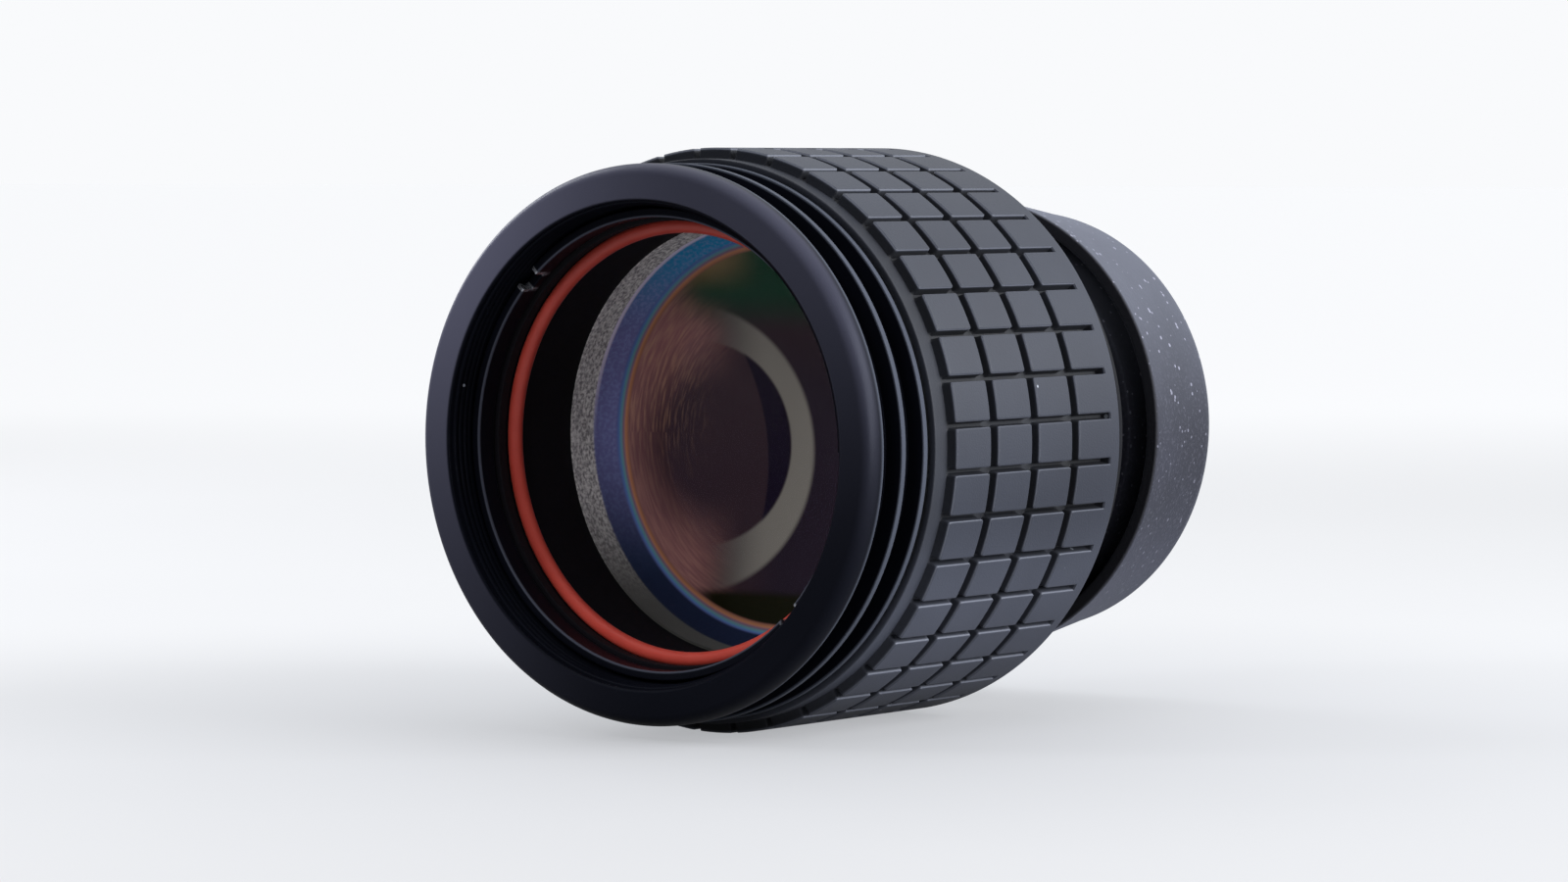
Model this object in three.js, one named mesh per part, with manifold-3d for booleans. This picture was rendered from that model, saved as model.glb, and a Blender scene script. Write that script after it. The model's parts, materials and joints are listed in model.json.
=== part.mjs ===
// A telescope eyepiece that lies on its side: black barrel, turning rubber grip, fold-down eyecup.
//
// Millimetres, +Z up. The optical axis runs along +Y, from the telescope end to the eye end.
// Turning the grip drives three cam pins, which slide the eyecup carrier along the barrel.
// Every axial size below is a distance behind the flat front face of the flange.

import * as THREE from "three";
import { mergeVertices } from "three/addons/utils/BufferGeometryUtils.js";
import Module from "manifold-3d";

const wasm = await Module();
wasm.setup();

// ---------------------------------------------------------------- clearances and facets
const FIT = 0.3;                 // running or seating clearance between two pieces
const SEGMENTS = 40;             // facets around an outer piece
const INNER_SEGMENTS = 32;       // facets around a piece inside the barrel
const PIN_SEGMENTS = 12;         // facets around a pin

// ---------------------------------------------------------------- telescope thread, M48 x 0.75
const THREAD_RADIUS = 24;
const THREAD_DEPTH = 0.4;
const THREAD_PITCH = 0.75;
const THREAD_START = 0.6;
const THREAD_TURNS = 7;
const MOUTH_CHAMFER = 0.25;

// ---------------------------------------------------------------- flange and fins
const FACE_WIDTH = 2.3;          // flat part of the front face
const SHOULDER_WIDTH = 1.15;     // rounded edge between face and rim, across
const SHOULDER_DEPTH = 1.9;      // and along the axis
const RIM_WIDTH = 0.6;
const FIN_WIDTH = 0.7;
const FIN_PITCH = 3.7;
const FIN_COUNT = 2;
const FIN_DEPTH = 1.9;

// ---------------------------------------------------------------- walls
const BARREL_WALL = 1.5;
const CELL_WALL = 1.25;
const CARRIER_WALL = 1.4;
const TUBE_WALL = 1.3;
const GRIP_RING_WALL = 1.4;
const STOP_LIP_WIDTH = 0.9;

// ---------------------------------------------------------------- rubber grip
const PADS_AROUND = 40;
const PAD_COLUMNS = 4;
const PAD_PITCH = 7.28;
const PAD_LENGTH = 5.75;
const PAD_GROOVE = 0.75;         // width of the groove between pads, around the grip
const PAD_RISE = 1.1;
const PAD_BEVEL = 0.25;
const PAD_SINK = 0.2;            // how far a pad's foot reaches into the sleeve
const SLEEVE_WALL = 1.05;
const SLEEVE_FRONT_BAND = 2.3;
const SLEEVE_REAR_BAND = 1.65;
const SLEEVE_GAP = 0.6;          // open line between the last fin and the rubber

// ---------------------------------------------------------------- rings inside the mouth
const RING_DEPTH = 3;            // front face to the retaining ring
const RING_WIDTH = 2.4;
const RING_WALL = 0.9;
const SPANNER_SLOT_WIDTH = 2.2;
const SPANNER_SLOT_DEPTH = 1.3;
const SPANNER_ANGLE = 135;
const O_RING_SETBACK = 2.1;      // front of the cell to the middle of the cord
const O_RING_CORD = 0.75;        // radius of the cord
const O_RING_PROUD = 1.25;       // how far the cord stands into the bore

// ---------------------------------------------------------------- lenses: edges and bulges
const CROWN_SETBACK = 9.6;       // middle of the red ring to the edge of the front lens
const CROWN_EDGE = 4.9;
const CROWN_BULGE = 3.6;
const CEMENT_BULGE = 2.6;
const FLINT_INSET = 2.2;         // how much smaller the second lens is than the first
const FLINT_EDGE = 3.2;
const FLINT_HOLLOW = 0.7;
const FIELD_SPACER_WIDTH = 1;
const FIELD_SPACER_WALL = 3;
const MIDDLE_RING_WIDTH = 4;
const MIDDLE_EDGE = 3;
const MIDDLE_BULGE = 2.5;
const STOP_RING_WIDTH = 2;
const FIELD_STOP_RADIUS = 13.5;
const EYE_FLINT_EDGE = 5;
const EYE_FLINT_HOLLOW = 0.8;
const EYE_CEMENT_BULGE = 3;
const EYE_CROWN_EDGE = 5.4;
const EYE_BULGE = 2.3;
const EYE_LENS_SETBACK = 3.9;    // end of the tube to the edge of the eye lens
const EYE_RING_WALL = 1.7;
const EYE_RING_WIDTH = 1.9;

// ---------------------------------------------------------------- eye end
const TUBE_NECK_RADIUS = 17;
const SHOULDER_INSET = 2.25;     // top of the pads down to the shoulder behind them
const SHOULDER_FLAT = 2.2;
const SHOULDER_ROUND = 6;
const STEP_ROOM = 2;             // step of the eye tube to the step in the carrier
const NECK_LENGTH = 7.1;
const NECK_RISE = 1.1;           // neck above the seat of the eyecup
const SEAT_LENGTH = 5.4;
const SEAT_WALL = 1.2;
const CLAMP_WIDTH = 1.3;
const CLAMP_RISE = 0.9;
const COLLAR_WALL = 1.5;
const SKIRT_GAP = 0.9;
const SKIRT_WALL = 1.3;
const SKIRT_OVERHANG = 0.6;      // front edge of the folded skirt to the front of the seat
const SKIRT_FLARE = 1.7;         // how much wider the skirt is at its front edge
const EYE_HOLLOW_INSET = 1;
const EYE_HOLLOW_DEPTH = 4.06;
const ROLL_DEPTH = 3;            // rounded rear edge of the folded eyecup

// ---------------------------------------------------------------- grip drive
const TRAVEL = 5;                // how far the eyecup rises
const TURN_DEGREES = 100;        // grip turn for the whole travel
const PIN_RADIUS = 0.9;
const PIN_SETBACK = 2.1;         // front of the carrier to the pins
const PIN_COUNT = 3;
const CAM_DEPTH = 0.9;           // depth of the helical groove inside the grip ring
const CAM_END_WALL = 0.9;        // what is left of the grip ring behind the groove
const WASHER_WIDTH = 0.5;
const LOCK_RING_WIDTH = 1.2;
const DRAG_CORD = 0.45;
const DRAG_SETBACK = 5.1;

// ---------------------------------------------------------------- radii
const rad = THREE.MathUtils.degToRad;
const threadMinor = THREAD_RADIUS - THREAD_DEPTH;
const mouthRadius = THREAD_RADIUS + MOUTH_CHAMFER;
const faceRadius = mouthRadius + FACE_WIDTH;
const flangeRadius = faceRadius + SHOULDER_WIDTH;
const ringRadius = threadMinor - FIT;
const ringBore = ringRadius - RING_WALL;
const barrelBore = threadMinor;
const journalRadius = barrelBore + BARREL_WALL;
const gripRingBore = journalRadius + FIT;
const gripRingRadius = gripRingBore + GRIP_RING_WALL;
const sleeveBore = gripRingRadius + FIT;
const sleeveRadius = sleeveBore + SLEEVE_WALL;
const padRadius = sleeveRadius + PAD_RISE;
const cellRadius = barrelBore - FIT;
const cellBore = cellRadius - CELL_WALL;
const crownRadius = cellBore - FIT;
const flintRadius = crownRadius - FLINT_INSET;
const ledgeBore = flintRadius + FIT;
const carrierRadius = barrelBore - FIT;
const carrierBore = carrierRadius - CARRIER_WALL;
const tubeRadius = carrierBore - FIT;
const tubeBore = tubeRadius - TUBE_WALL;
const middleLensRadius = tubeBore - FIT;
const tubeNeckBore = TUBE_NECK_RADIUS - TUBE_WALL;
const eyeLensRadius = tubeNeckBore - FIT;
const eyeRingBore = eyeLensRadius - EYE_RING_WALL;
const neckBore = TUBE_NECK_RADIUS + FIT;
const seatRadius = neckBore + SEAT_WALL;
const neckRadius = seatRadius + NECK_RISE;
const clampRadius = seatRadius + CLAMP_RISE;
const shoulderRadius = padRadius - SHOULDER_INSET;
const collarBore = seatRadius + FIT;
const collarRadius = collarBore + COLLAR_WALL;
const skirtBore = collarRadius + SKIRT_GAP;
const skirtRadius = skirtBore + SKIRT_WALL;
const eyeHollowRadius = clampRadius - EYE_HOLLOW_INSET;

// ---------------------------------------------------------------- distances along the axis
const rimStart = SHOULDER_DEPTH;
const rimEnd = rimStart + RIM_WIDTH;
const lastFinEnd = rimEnd + FIN_COUNT * FIN_PITCH;
const washerStart = lastFinEnd + FIT;
const gripRingStart = washerStart + WASHER_WIDTH + FIT;
const dragDepth = lastFinEnd + DRAG_SETBACK;
const sleeveStart = lastFinEnd + SLEEVE_GAP;
const padStart = sleeveStart + SLEEVE_FRONT_BAND;
const padEnd = padStart + (PAD_COLUMNS - 1) * PAD_PITCH + PAD_LENGTH;
const sleeveEnd = padEnd + SLEEVE_REAR_BAND;
const barrelEnd = sleeveEnd - FIT;
const lockRingStart = barrelEnd - LOCK_RING_WIDTH;
const gripRingEnd = lockRingStart - FIT;

const cellStart = RING_DEPTH + RING_WIDTH + FIT;
const oRingDepth = cellStart + O_RING_SETBACK;
const crownStart = oRingDepth + CROWN_SETBACK;
const crownEnd = crownStart + CROWN_EDGE;
const ledgeStart = crownEnd + sag(CEMENT_BULGE, crownRadius, ledgeBore) + FIT;
const flintEdgeStart = crownEnd + FIT + sag(CEMENT_BULGE, crownRadius, flintRadius);
const flintEnd = flintEdgeStart + FLINT_EDGE;
const fieldSpacerStart = flintEnd + FIT;
const tubeStart = fieldSpacerStart + FIELD_SPACER_WIDTH + FIT;
const pinDepth = gripRingEnd - CAM_END_WALL - PIN_RADIUS - FIT - TRAVEL;
const carrierStart = pinDepth - PIN_SETBACK;
const stopLipEnd = carrierStart - FIT;
const stopLipStart = stopLipEnd - STOP_LIP_WIDTH;
const cellEnd = stopLipStart - FIT;
const middleRingStart = tubeStart + FIT;
const middleLensStart = middleRingStart + MIDDLE_RING_WIDTH + FIT;
const stopRingStart = middleLensStart + MIDDLE_EDGE + MIDDLE_BULGE + FIT;
const tubeInnerStep = stopRingStart + STOP_RING_WIDTH + FIT;
const tubeStep = tubeInnerStep + TUBE_WALL;

const carrierShoulder = sleeveEnd + FIT;
const shoulderEnd = carrierShoulder + SHOULDER_FLAT;
const neckStart = shoulderEnd + SHOULDER_ROUND;
const seatStart = neckStart + NECK_LENGTH;
const seatEnd = seatStart + SEAT_LENGTH;
const clampStart = seatEnd + FIT;
const clampEnd = clampStart + CLAMP_WIDTH;
const tubeEnd = clampEnd;
const eyeCrownEnd = tubeEnd - EYE_LENS_SETBACK;
const eyeCrownStart = eyeCrownEnd - EYE_CROWN_EDGE;
const eyeFlintStart = eyeCrownStart - FIT - EYE_FLINT_EDGE;
const eyeRingStart = eyeCrownEnd + sag(EYE_BULGE, eyeLensRadius, eyeRingBore) + FIT;
const pocketEnd = clampEnd + FIT;
const rollStart = pocketEnd + EYE_HOLLOW_DEPTH;
const length = rollStart + ROLL_DEPTH;

// ---------------------------------------------------------------- materials
function finish(color, roughness, metalness) {
  return () => new THREE.MeshStandardMaterial({ color, roughness, metalness });
}
const blackAnodised = finish(0x1b1c20, 0.5, 0.6);
const blackPaint = finish(0x0c0c0e, 0.8, 0.1);
const gripRubber = finish(0x33353b, 0.75, 0);
const eyecupRubber = finish(0x3c3d44, 0.8, 0);
const redSilicone = finish(0xb03426, 0.45, 0);
const coatedGlass = finish(0x4a4c6a, 0.05, 0);
const steel = finish(0x9a9ca0, 0.35, 1);
const nylon = finish(0xd8d8d0, 0.5, 0);

// ---------------------------------------------------------------- shape helpers
// Turns a closed outline of [radius, distance] pairs round the optical axis.
function turned(outline, segments = SEGMENTS, startAngle = 0) {
  let area = 0;
  outline.forEach(([r, d], i) => {
    const [nextR, nextD] = outline[(i + 1) % outline.length];
    area += r * nextD - nextR * d;
  });
  const ordered = area > 0 ? outline.slice() : outline.slice().reverse();
  const onAxis = ordered.findIndex(([r], i) => r === 0 && ordered.at(i - 1)[0] === 0);
  if (onAxis >= 0) {
    ordered.push(...ordered.splice(0, onAxis));
  } else {
    ordered.push(ordered[0]);
  }
  const points = ordered.map(([r, d]) => new THREE.Vector2(r, d));
  return new THREE.LatheGeometry(points, segments, startAngle);
}

// A plain ring with a rectangular section.
function ring(inner, outer, start, end, segments = INNER_SEGMENTS) {
  return turned([[inner, start], [outer, start], [outer, end], [inner, end]], segments);
}

// Points on a quarter of an ellipse, from [r1, d1] to [r2, d2], leaving r1 square to the axis.
function quarter([r1, d1], [r2, d2], steps, alongFirst) {
  const points = [];
  for (let i = 1; i < steps; i += 1) {
    const angle = (i / steps) * Math.PI / 2;
    const rising = Math.sin(angle);
    const falling = 1 - Math.cos(angle);
    const shareR = alongFirst ? falling : rising;
    const shareD = alongFirst ? rising : falling;
    points.push([r1 + (r2 - r1) * shareR, d1 + (d2 - d1) * shareD]);
  }
  return points;
}

// A ring of round cord.
function cordRing(centre, depth, cordRadius, sides, segments) {
  const outline = [];
  for (let i = 0; i < sides; i += 1) {
    const angle = (i / sides) * 2 * Math.PI;
    outline.push([centre + cordRadius * Math.cos(angle), depth + cordRadius * Math.sin(angle)]);
  }
  return turned(outline, segments);
}

// Distance from the rim plane of a spherical surface, at one radius.
function sag(bulge, radius, at) {
  if (bulge === 0) {
    return 0;
  }
  const size = Math.abs(bulge);
  const curve = (radius * radius + size * size) / (2 * size);
  return Math.sign(bulge) * (Math.sqrt(curve * curve - at * at) - (curve - size));
}

// A lens between two spherical surfaces. A positive bulge stands out of the lens.
// fullRadius is where the front surface's bulge is measured, if that is wider than the lens.
function lens(radius, start, edge, frontBulge, rearBulge, fullRadius = radius) {
  const rings = 3;
  const front = [];
  const rear = [];
  for (let i = 0; i <= rings; i += 1) {
    const r = radius * i / rings;
    const rise = sag(frontBulge, fullRadius, r) - sag(frontBulge, fullRadius, radius);
    front.push([r, start - rise]);
    rear.unshift([r, start + edge + sag(rearBulge, radius, r)]);
  }
  return turned([...front, ...rear], INNER_SEGMENTS);
}

// ---------------------------------------------------------------- cutting and joining
function toSolid(geometry) {
  const bare = geometry.clone();
  bare.deleteAttribute("normal");
  bare.deleteAttribute("uv");
  const merged = mergeVertices(bare, 1e-4);
  return new wasm.Manifold(new wasm.Mesh({
    numProp: 3,
    vertProperties: new Float32Array(merged.attributes.position.array),
    triVerts: new Uint32Array(merged.index.array),
  }));
}

function toGeometry(solid) {
  const mesh = solid.getMesh();
  const geometry = new THREE.BufferGeometry();
  geometry.setAttribute("position", new THREE.BufferAttribute(mesh.vertProperties, 3));
  geometry.setIndex(new THREE.BufferAttribute(mesh.triVerts, 1));
  geometry.computeVertexNormals();
  return geometry;
}

function cutAway(geometry, cutters) {
  let solid = toSolid(geometry);
  cutters.forEach((cutter) => {
    solid = solid.subtract(toSolid(cutter));
  });
  return toGeometry(solid);
}

function joined(geometry, additions) {
  let solid = toSolid(geometry);
  additions.forEach((addition) => {
    solid = solid.add(toSolid(addition));
  });
  return toGeometry(solid);
}

// Turns a shape made above the axis, on +Z, round to an angle measured from +X towards +Z.
function turnedTo(geometry, degrees) {
  return geometry.rotateY(rad(90 - degrees));
}

// Two opposite slots for a pin spanner, cut into one face of a ring.
function spannerSlots(inner, outer, depth, angle) {
  const height = outer - inner + 2;
  return [angle, angle + 180].map((degrees) => {
    const slot = new THREE.BoxGeometry(SPANNER_SLOT_WIDTH, 2 * SPANNER_SLOT_DEPTH, height);
    slot.translate(0, depth, (inner + outer) / 2);
    return turnedTo(slot, degrees);
  });
}

// ---------------------------------------------------------------- main barrel
function mainBarrel() {
  const finFloor = flangeRadius - FIN_DEPTH;
  const outline = [
    [mouthRadius, 0],
    [faceRadius, 0],
    ...quarter([faceRadius, 0], [flangeRadius, rimStart], 4, false),
    [flangeRadius, rimStart],
    [flangeRadius, rimEnd],
  ];
  for (let fin = 1; fin <= FIN_COUNT; fin += 1) {
    const finEnd = rimEnd + fin * FIN_PITCH;
    outline.push([finFloor, finEnd - FIN_PITCH], [finFloor, finEnd - FIN_WIDTH]);
    outline.push([flangeRadius, finEnd - FIN_WIDTH], [flangeRadius, finEnd]);
  }
  const dragFloor = journalRadius - 2 * DRAG_CORD;
  const dragHalf = DRAG_CORD + FIT;
  outline.push(
    [journalRadius, lastFinEnd],
    [journalRadius, dragDepth - dragHalf],
    [dragFloor, dragDepth - dragHalf],
    [dragFloor, dragDepth + dragHalf],
    [journalRadius, dragDepth + dragHalf],
    [journalRadius, barrelEnd],
    [barrelBore, barrelEnd],
    [barrelBore, stopLipEnd],
    [tubeRadius + FIT, stopLipEnd],
    [tubeRadius + FIT, stopLipStart],
    [barrelBore, stopLipStart],
  );
  for (let turn = THREAD_TURNS; turn >= 0; turn -= 1) {
    const ridge = THREAD_START + turn * THREAD_PITCH;
    outline.push([threadMinor, ridge + THREAD_PITCH / 4]);
    outline.push([THREAD_RADIUS, ridge - THREAD_PITCH / 4]);
  }

  const slotLength = TRAVEL + 2 * (PIN_RADIUS + FIT);
  const slotCentre = pinDepth + TRAVEL / 2;
  const slots = pinAngles().map((degrees) => {
    const slot = new THREE.BoxGeometry(2 * (PIN_RADIUS + FIT), slotLength, 2 * BARREL_WALL);
    slot.translate(0, slotCentre, (barrelBore + journalRadius) / 2);
    return turnedTo(slot, degrees);
  });
  return cutAway(turned(outline), slots);
}

function pinAngles() {
  return Array.from({ length: PIN_COUNT }, (_, i) => 90 + i * 360 / PIN_COUNT);
}

// ---------------------------------------------------------------- grip
// A helical bar that the cam pin's path clears out of the grip ring.
function helixBar(startDegrees) {
  const steps = 16;
  const half = PIN_RADIUS + FIT;
  const endAllowance = half / gripRingBore;
  const sweep = rad(TURN_DEGREES);
  const inner = journalRadius - FIT;
  const outer = gripRingBore + CAM_DEPTH;
  const positions = [];
  const index = [];
  for (let i = 0; i <= steps; i += 1) {
    const turn = -endAllowance + (sweep + 2 * endAllowance) * i / steps;
    const middle = pinDepth + TRAVEL * turn / sweep;
    const angle = rad(startDegrees) + turn;
    [[inner, -half], [outer, -half], [outer, half], [inner, half]].forEach(([r, side]) => {
      positions.push(r * Math.cos(angle), middle + side, r * Math.sin(angle));
    });
  }
  for (let i = 0; i < steps; i += 1) {
    for (let side = 0; side < 4; side += 1) {
      const a = i * 4 + side;
      const b = i * 4 + (side + 1) % 4;
      index.push(a, b, a + 4, b, b + 4, a + 4);
    }
  }
  const last = steps * 4;
  index.push(0, 3, 1, 1, 3, 2, last, last + 1, last + 3, last + 1, last + 2, last + 3);
  const bar = new THREE.BufferGeometry();
  bar.setAttribute("position", new THREE.Float32BufferAttribute(positions, 3));
  bar.setAttribute("normal", new THREE.Float32BufferAttribute(positions.length, 3));
  bar.setAttribute("uv", new THREE.Float32BufferAttribute(positions.length / 3 * 2, 2));
  bar.setIndex(index);
  return bar;
}

function gripRing() {
  return cutAway(
    ring(gripRingBore, gripRingRadius, gripRingStart, gripRingEnd, SEGMENTS),
    pinAngles().map(helixBar),
  );
}

// One raised pad: a block whose four walls lean in towards its top.
function pad(start, length) {
  const pitchAround = 2 * sleeveRadius * Math.tan(Math.PI / PADS_AROUND);
  const width = pitchAround - PAD_GROOVE + 2 * PAD_BEVEL;
  const height = PAD_RISE + PAD_SINK;
  const block = new THREE.BoxGeometry(width, length + 2 * PAD_BEVEL, height);
  const position = block.attributes.position;
  for (let i = 0; i < position.count; i += 1) {
    if (position.getZ(i) > 0) {
      position.setX(i, position.getX(i) * (1 - 2 * PAD_BEVEL / width));
      position.setY(i, position.getY(i) * length / (length + 2 * PAD_BEVEL));
    }
  }
  return block.translate(0, start + length / 2, padRadius - height / 2);
}

function rubberGrip() {
  const acrossFlats = 1 / Math.cos(Math.PI / PADS_AROUND);
  const outline = [
    [sleeveBore, sleeveStart],
    [sleeveRadius - PAD_BEVEL, sleeveStart],
    [sleeveRadius, sleeveStart + PAD_BEVEL],
    [sleeveRadius, padEnd - PAD_BEVEL],
    [padRadius, padEnd],
    [padRadius, sleeveEnd - PAD_BEVEL],
    [padRadius - PAD_BEVEL, sleeveEnd],
    [sleeveBore, sleeveEnd],
  ].map(([r, d]) => [r * acrossFlats, d]);
  const sleeve = turned(outline, PADS_AROUND, Math.PI / PADS_AROUND);
  const pads = [];
  for (let i = 0; i < PADS_AROUND; i += 1) {
    for (let column = 0; column < PAD_COLUMNS; column += 1) {
      const length = PAD_LENGTH + (column === PAD_COLUMNS - 1 ? PAD_BEVEL : 0);
      pads.push(turnedTo(pad(padStart + column * PAD_PITCH, length), i * 360 / PADS_AROUND));
    }
  }
  return joined(sleeve, pads);
}

// ---------------------------------------------------------------- eye end
function eyeTube() {
  return turned([
    [tubeBore, tubeStart],
    [tubeRadius, tubeStart],
    [tubeRadius, tubeStep],
    [TUBE_NECK_RADIUS, tubeStep],
    [TUBE_NECK_RADIUS, tubeEnd],
    [tubeNeckBore, tubeEnd],
    [tubeNeckBore, tubeInnerStep],
    [tubeBore, tubeInnerStep],
  ], INNER_SEGMENTS);
}

function eyecupCarrier() {
  const innerStep = tubeStep + STEP_ROOM;
  const body = turned([
    [carrierBore, carrierStart],
    [carrierRadius, carrierStart],
    [carrierRadius, carrierShoulder],
    [shoulderRadius, carrierShoulder],
    [shoulderRadius, shoulderEnd],
    ...quarter([shoulderRadius, shoulderEnd], [neckRadius, neckStart], 5, true),
    [neckRadius, neckStart],
    [neckRadius, seatStart],
    [seatRadius, seatStart],
    [seatRadius, seatEnd],
    [neckBore, seatEnd],
    [neckBore, innerStep],
    [carrierBore, innerStep],
  ]);
  const holes = pinAngles().map((degrees) => {
    const hole = new THREE.CylinderGeometry(
      PIN_RADIUS + FIT, PIN_RADIUS + FIT, 3 * CARRIER_WALL, PIN_SEGMENTS);
    hole.rotateX(Math.PI / 2).translate(0, pinDepth, carrierRadius - CARRIER_WALL / 2);
    return turnedTo(hole, degrees);
  });
  return cutAway(body, holes);
}

function camPin(degrees) {
  const tip = gripRingBore + CAM_DEPTH - FIT;
  const length = tip - carrierBore - FIT;
  const pin = new THREE.CylinderGeometry(PIN_RADIUS, PIN_RADIUS, length, PIN_SEGMENTS);
  pin.rotateX(Math.PI / 2).translate(0, pinDepth, tip - length / 2);
  return turnedTo(pin, degrees);
}

// The folded eyecup: a collar on the neck, a rolled rear edge and a flared skirt facing forward.
function rubberEyecup() {
  const rollTop = (eyeHollowRadius + skirtRadius) / 2;
  const foldEnd = rollStart - SKIRT_WALL;
  const skirtLip = seatStart - SKIRT_OVERHANG;
  const lipRadius = skirtRadius + SKIRT_FLARE;
  return turned([
    [collarBore, seatStart + FIT],
    [collarRadius, seatStart + FIT],
    [collarRadius, foldEnd - SKIRT_GAP / 2],
    [(collarRadius + skirtBore) / 2, foldEnd],
    [skirtBore, foldEnd - SKIRT_GAP / 2],
    [lipRadius - SKIRT_WALL, skirtLip],
    [lipRadius - PAD_BEVEL, skirtLip],
    [lipRadius, skirtLip + PAD_BEVEL],
    [skirtRadius, rollStart],
    ...quarter([skirtRadius, rollStart], [rollTop, length], 4, true),
    [rollTop, length],
    ...quarter([rollTop, length], [eyeHollowRadius, rollStart], 4, false),
    [eyeHollowRadius, rollStart],
    [eyeHollowRadius, pocketEnd],
    [clampRadius + FIT, pocketEnd],
    [clampRadius + FIT, seatEnd],
    [collarBore, seatEnd],
  ]);
}

// ---------------------------------------------------------------- small rings
function frontRetainingRing() {
  return cutAway(
    ring(ringBore, ringRadius, RING_DEPTH, RING_DEPTH + RING_WIDTH, SEGMENTS),
    spannerSlots(ringBore, ringRadius, RING_DEPTH, SPANNER_ANGLE),
  );
}

function fieldCell() {
  const grooveRadius = cellBore - O_RING_PROUD + 2 * O_RING_CORD + FIT;
  const grooveHalf = O_RING_CORD + FIT;
  return turned([
    [cellBore, cellStart],
    [cellRadius, cellStart],
    [cellRadius, cellEnd],
    [cellBore, cellEnd],
    [cellBore, flintEnd],
    [ledgeBore, flintEnd],
    [ledgeBore, ledgeStart],
    [cellBore, ledgeStart],
    [cellBore, oRingDepth + grooveHalf],
    [grooveRadius, oRingDepth + grooveHalf],
    [grooveRadius, oRingDepth - grooveHalf],
    [cellBore, oRingDepth - grooveHalf],
  ], INNER_SEGMENTS);
}

function eyeRetainingRing() {
  const end = eyeRingStart + EYE_RING_WIDTH;
  return cutAway(
    ring(eyeRingBore, eyeLensRadius, eyeRingStart, end),
    spannerSlots(eyeRingBore, eyeLensRadius, end, 90),
  );
}

// ---------------------------------------------------------------- assembly
const eyepiece = new THREE.Group();
eyepiece.position.set(0, -length / 2, padRadius);

function place(name, geometry, material) {
  const mesh = new THREE.Mesh(geometry, material());
  mesh.name = name;
  eyepiece.add(mesh);
}

place("main_barrel", mainBarrel(), blackAnodised);
place("front_retaining_ring", frontRetainingRing(), blackAnodised);
place("field_cell", fieldCell(), blackPaint);
place("red_o_ring",
  cordRing(cellBore - O_RING_PROUD + O_RING_CORD, oRingDepth, O_RING_CORD, 8, SEGMENTS),
  redSilicone);

place("field_crown_lens",
  lens(crownRadius, crownStart, CROWN_EDGE, CROWN_BULGE, CEMENT_BULGE), coatedGlass);
place("field_flint_lens",
  lens(flintRadius, flintEdgeStart, FLINT_EDGE, -CEMENT_BULGE, -FLINT_HOLLOW, crownRadius),
  coatedGlass);
place("field_spacer_ring",
  ring(crownRadius - FIELD_SPACER_WALL, crownRadius,
    fieldSpacerStart, fieldSpacerStart + FIELD_SPACER_WIDTH), blackPaint);

place("eye_tube", eyeTube(), blackPaint);
place("middle_retaining_ring",
  ring(middleLensRadius - TUBE_WALL, middleLensRadius,
    middleRingStart, middleRingStart + MIDDLE_RING_WIDTH), blackPaint);
place("middle_lens",
  lens(middleLensRadius, middleLensStart, MIDDLE_EDGE, MIDDLE_BULGE, MIDDLE_BULGE), coatedGlass);
place("field_stop_ring",
  ring(FIELD_STOP_RADIUS, middleLensRadius, stopRingStart, stopRingStart + STOP_RING_WIDTH),
  blackPaint);
place("eye_flint_lens",
  lens(eyeLensRadius, eyeFlintStart, EYE_FLINT_EDGE, -EYE_FLINT_HOLLOW, -EYE_CEMENT_BULGE),
  coatedGlass);
place("eye_crown_lens",
  lens(eyeLensRadius, eyeCrownStart, EYE_CROWN_EDGE, EYE_CEMENT_BULGE, EYE_BULGE), coatedGlass);
place("eye_retaining_ring", eyeRetainingRing(), blackAnodised);

place("drag_o_ring",
  cordRing(journalRadius - DRAG_CORD + FIT / 3, dragDepth, DRAG_CORD, 6, SEGMENTS),
  eyecupRubber);
place("glide_washer",
  ring(gripRingBore, gripRingRadius, washerStart, washerStart + WASHER_WIDTH), nylon);
place("grip_lock_ring",
  ring(gripRingBore, gripRingRadius, lockRingStart, barrelEnd), blackAnodised);

place("grip_ring", gripRing(), blackAnodised);
place("rubber_grip", rubberGrip(), gripRubber);

place("eyecup_carrier", eyecupCarrier(), blackAnodised);
pinAngles().forEach((degrees, i) => place(`cam_pin_${i + 1}`, camPin(degrees), steel));
place("eyecup_clamp_ring", ring(neckBore, clampRadius, clampStart, clampEnd, SEGMENTS),
  blackAnodised);
place("rubber_eyecup", rubberEyecup(), eyecupRubber);

export default eyepiece;
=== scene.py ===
# %% [markdown]
# # A telescope eyepiece that lies on its side
#
# The eyepiece is a stack of turned parts on one optical axis. The wide end, with a thread inside
# its mouth, screws onto a telescope. A rubber grip with square pads goes round the middle, and a
# folded rubber eyecup closes the other end. Turning the grip slides the eyecup in and out.
#
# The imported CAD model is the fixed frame. It has every part at its real size, but with flat
# facets, so here each part that shows gets a smooth piece of the same size and a real finish.

# %% Load the frame
import json
import math
import bpy
import bmesh
from mathutils import Matrix, Vector


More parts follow.
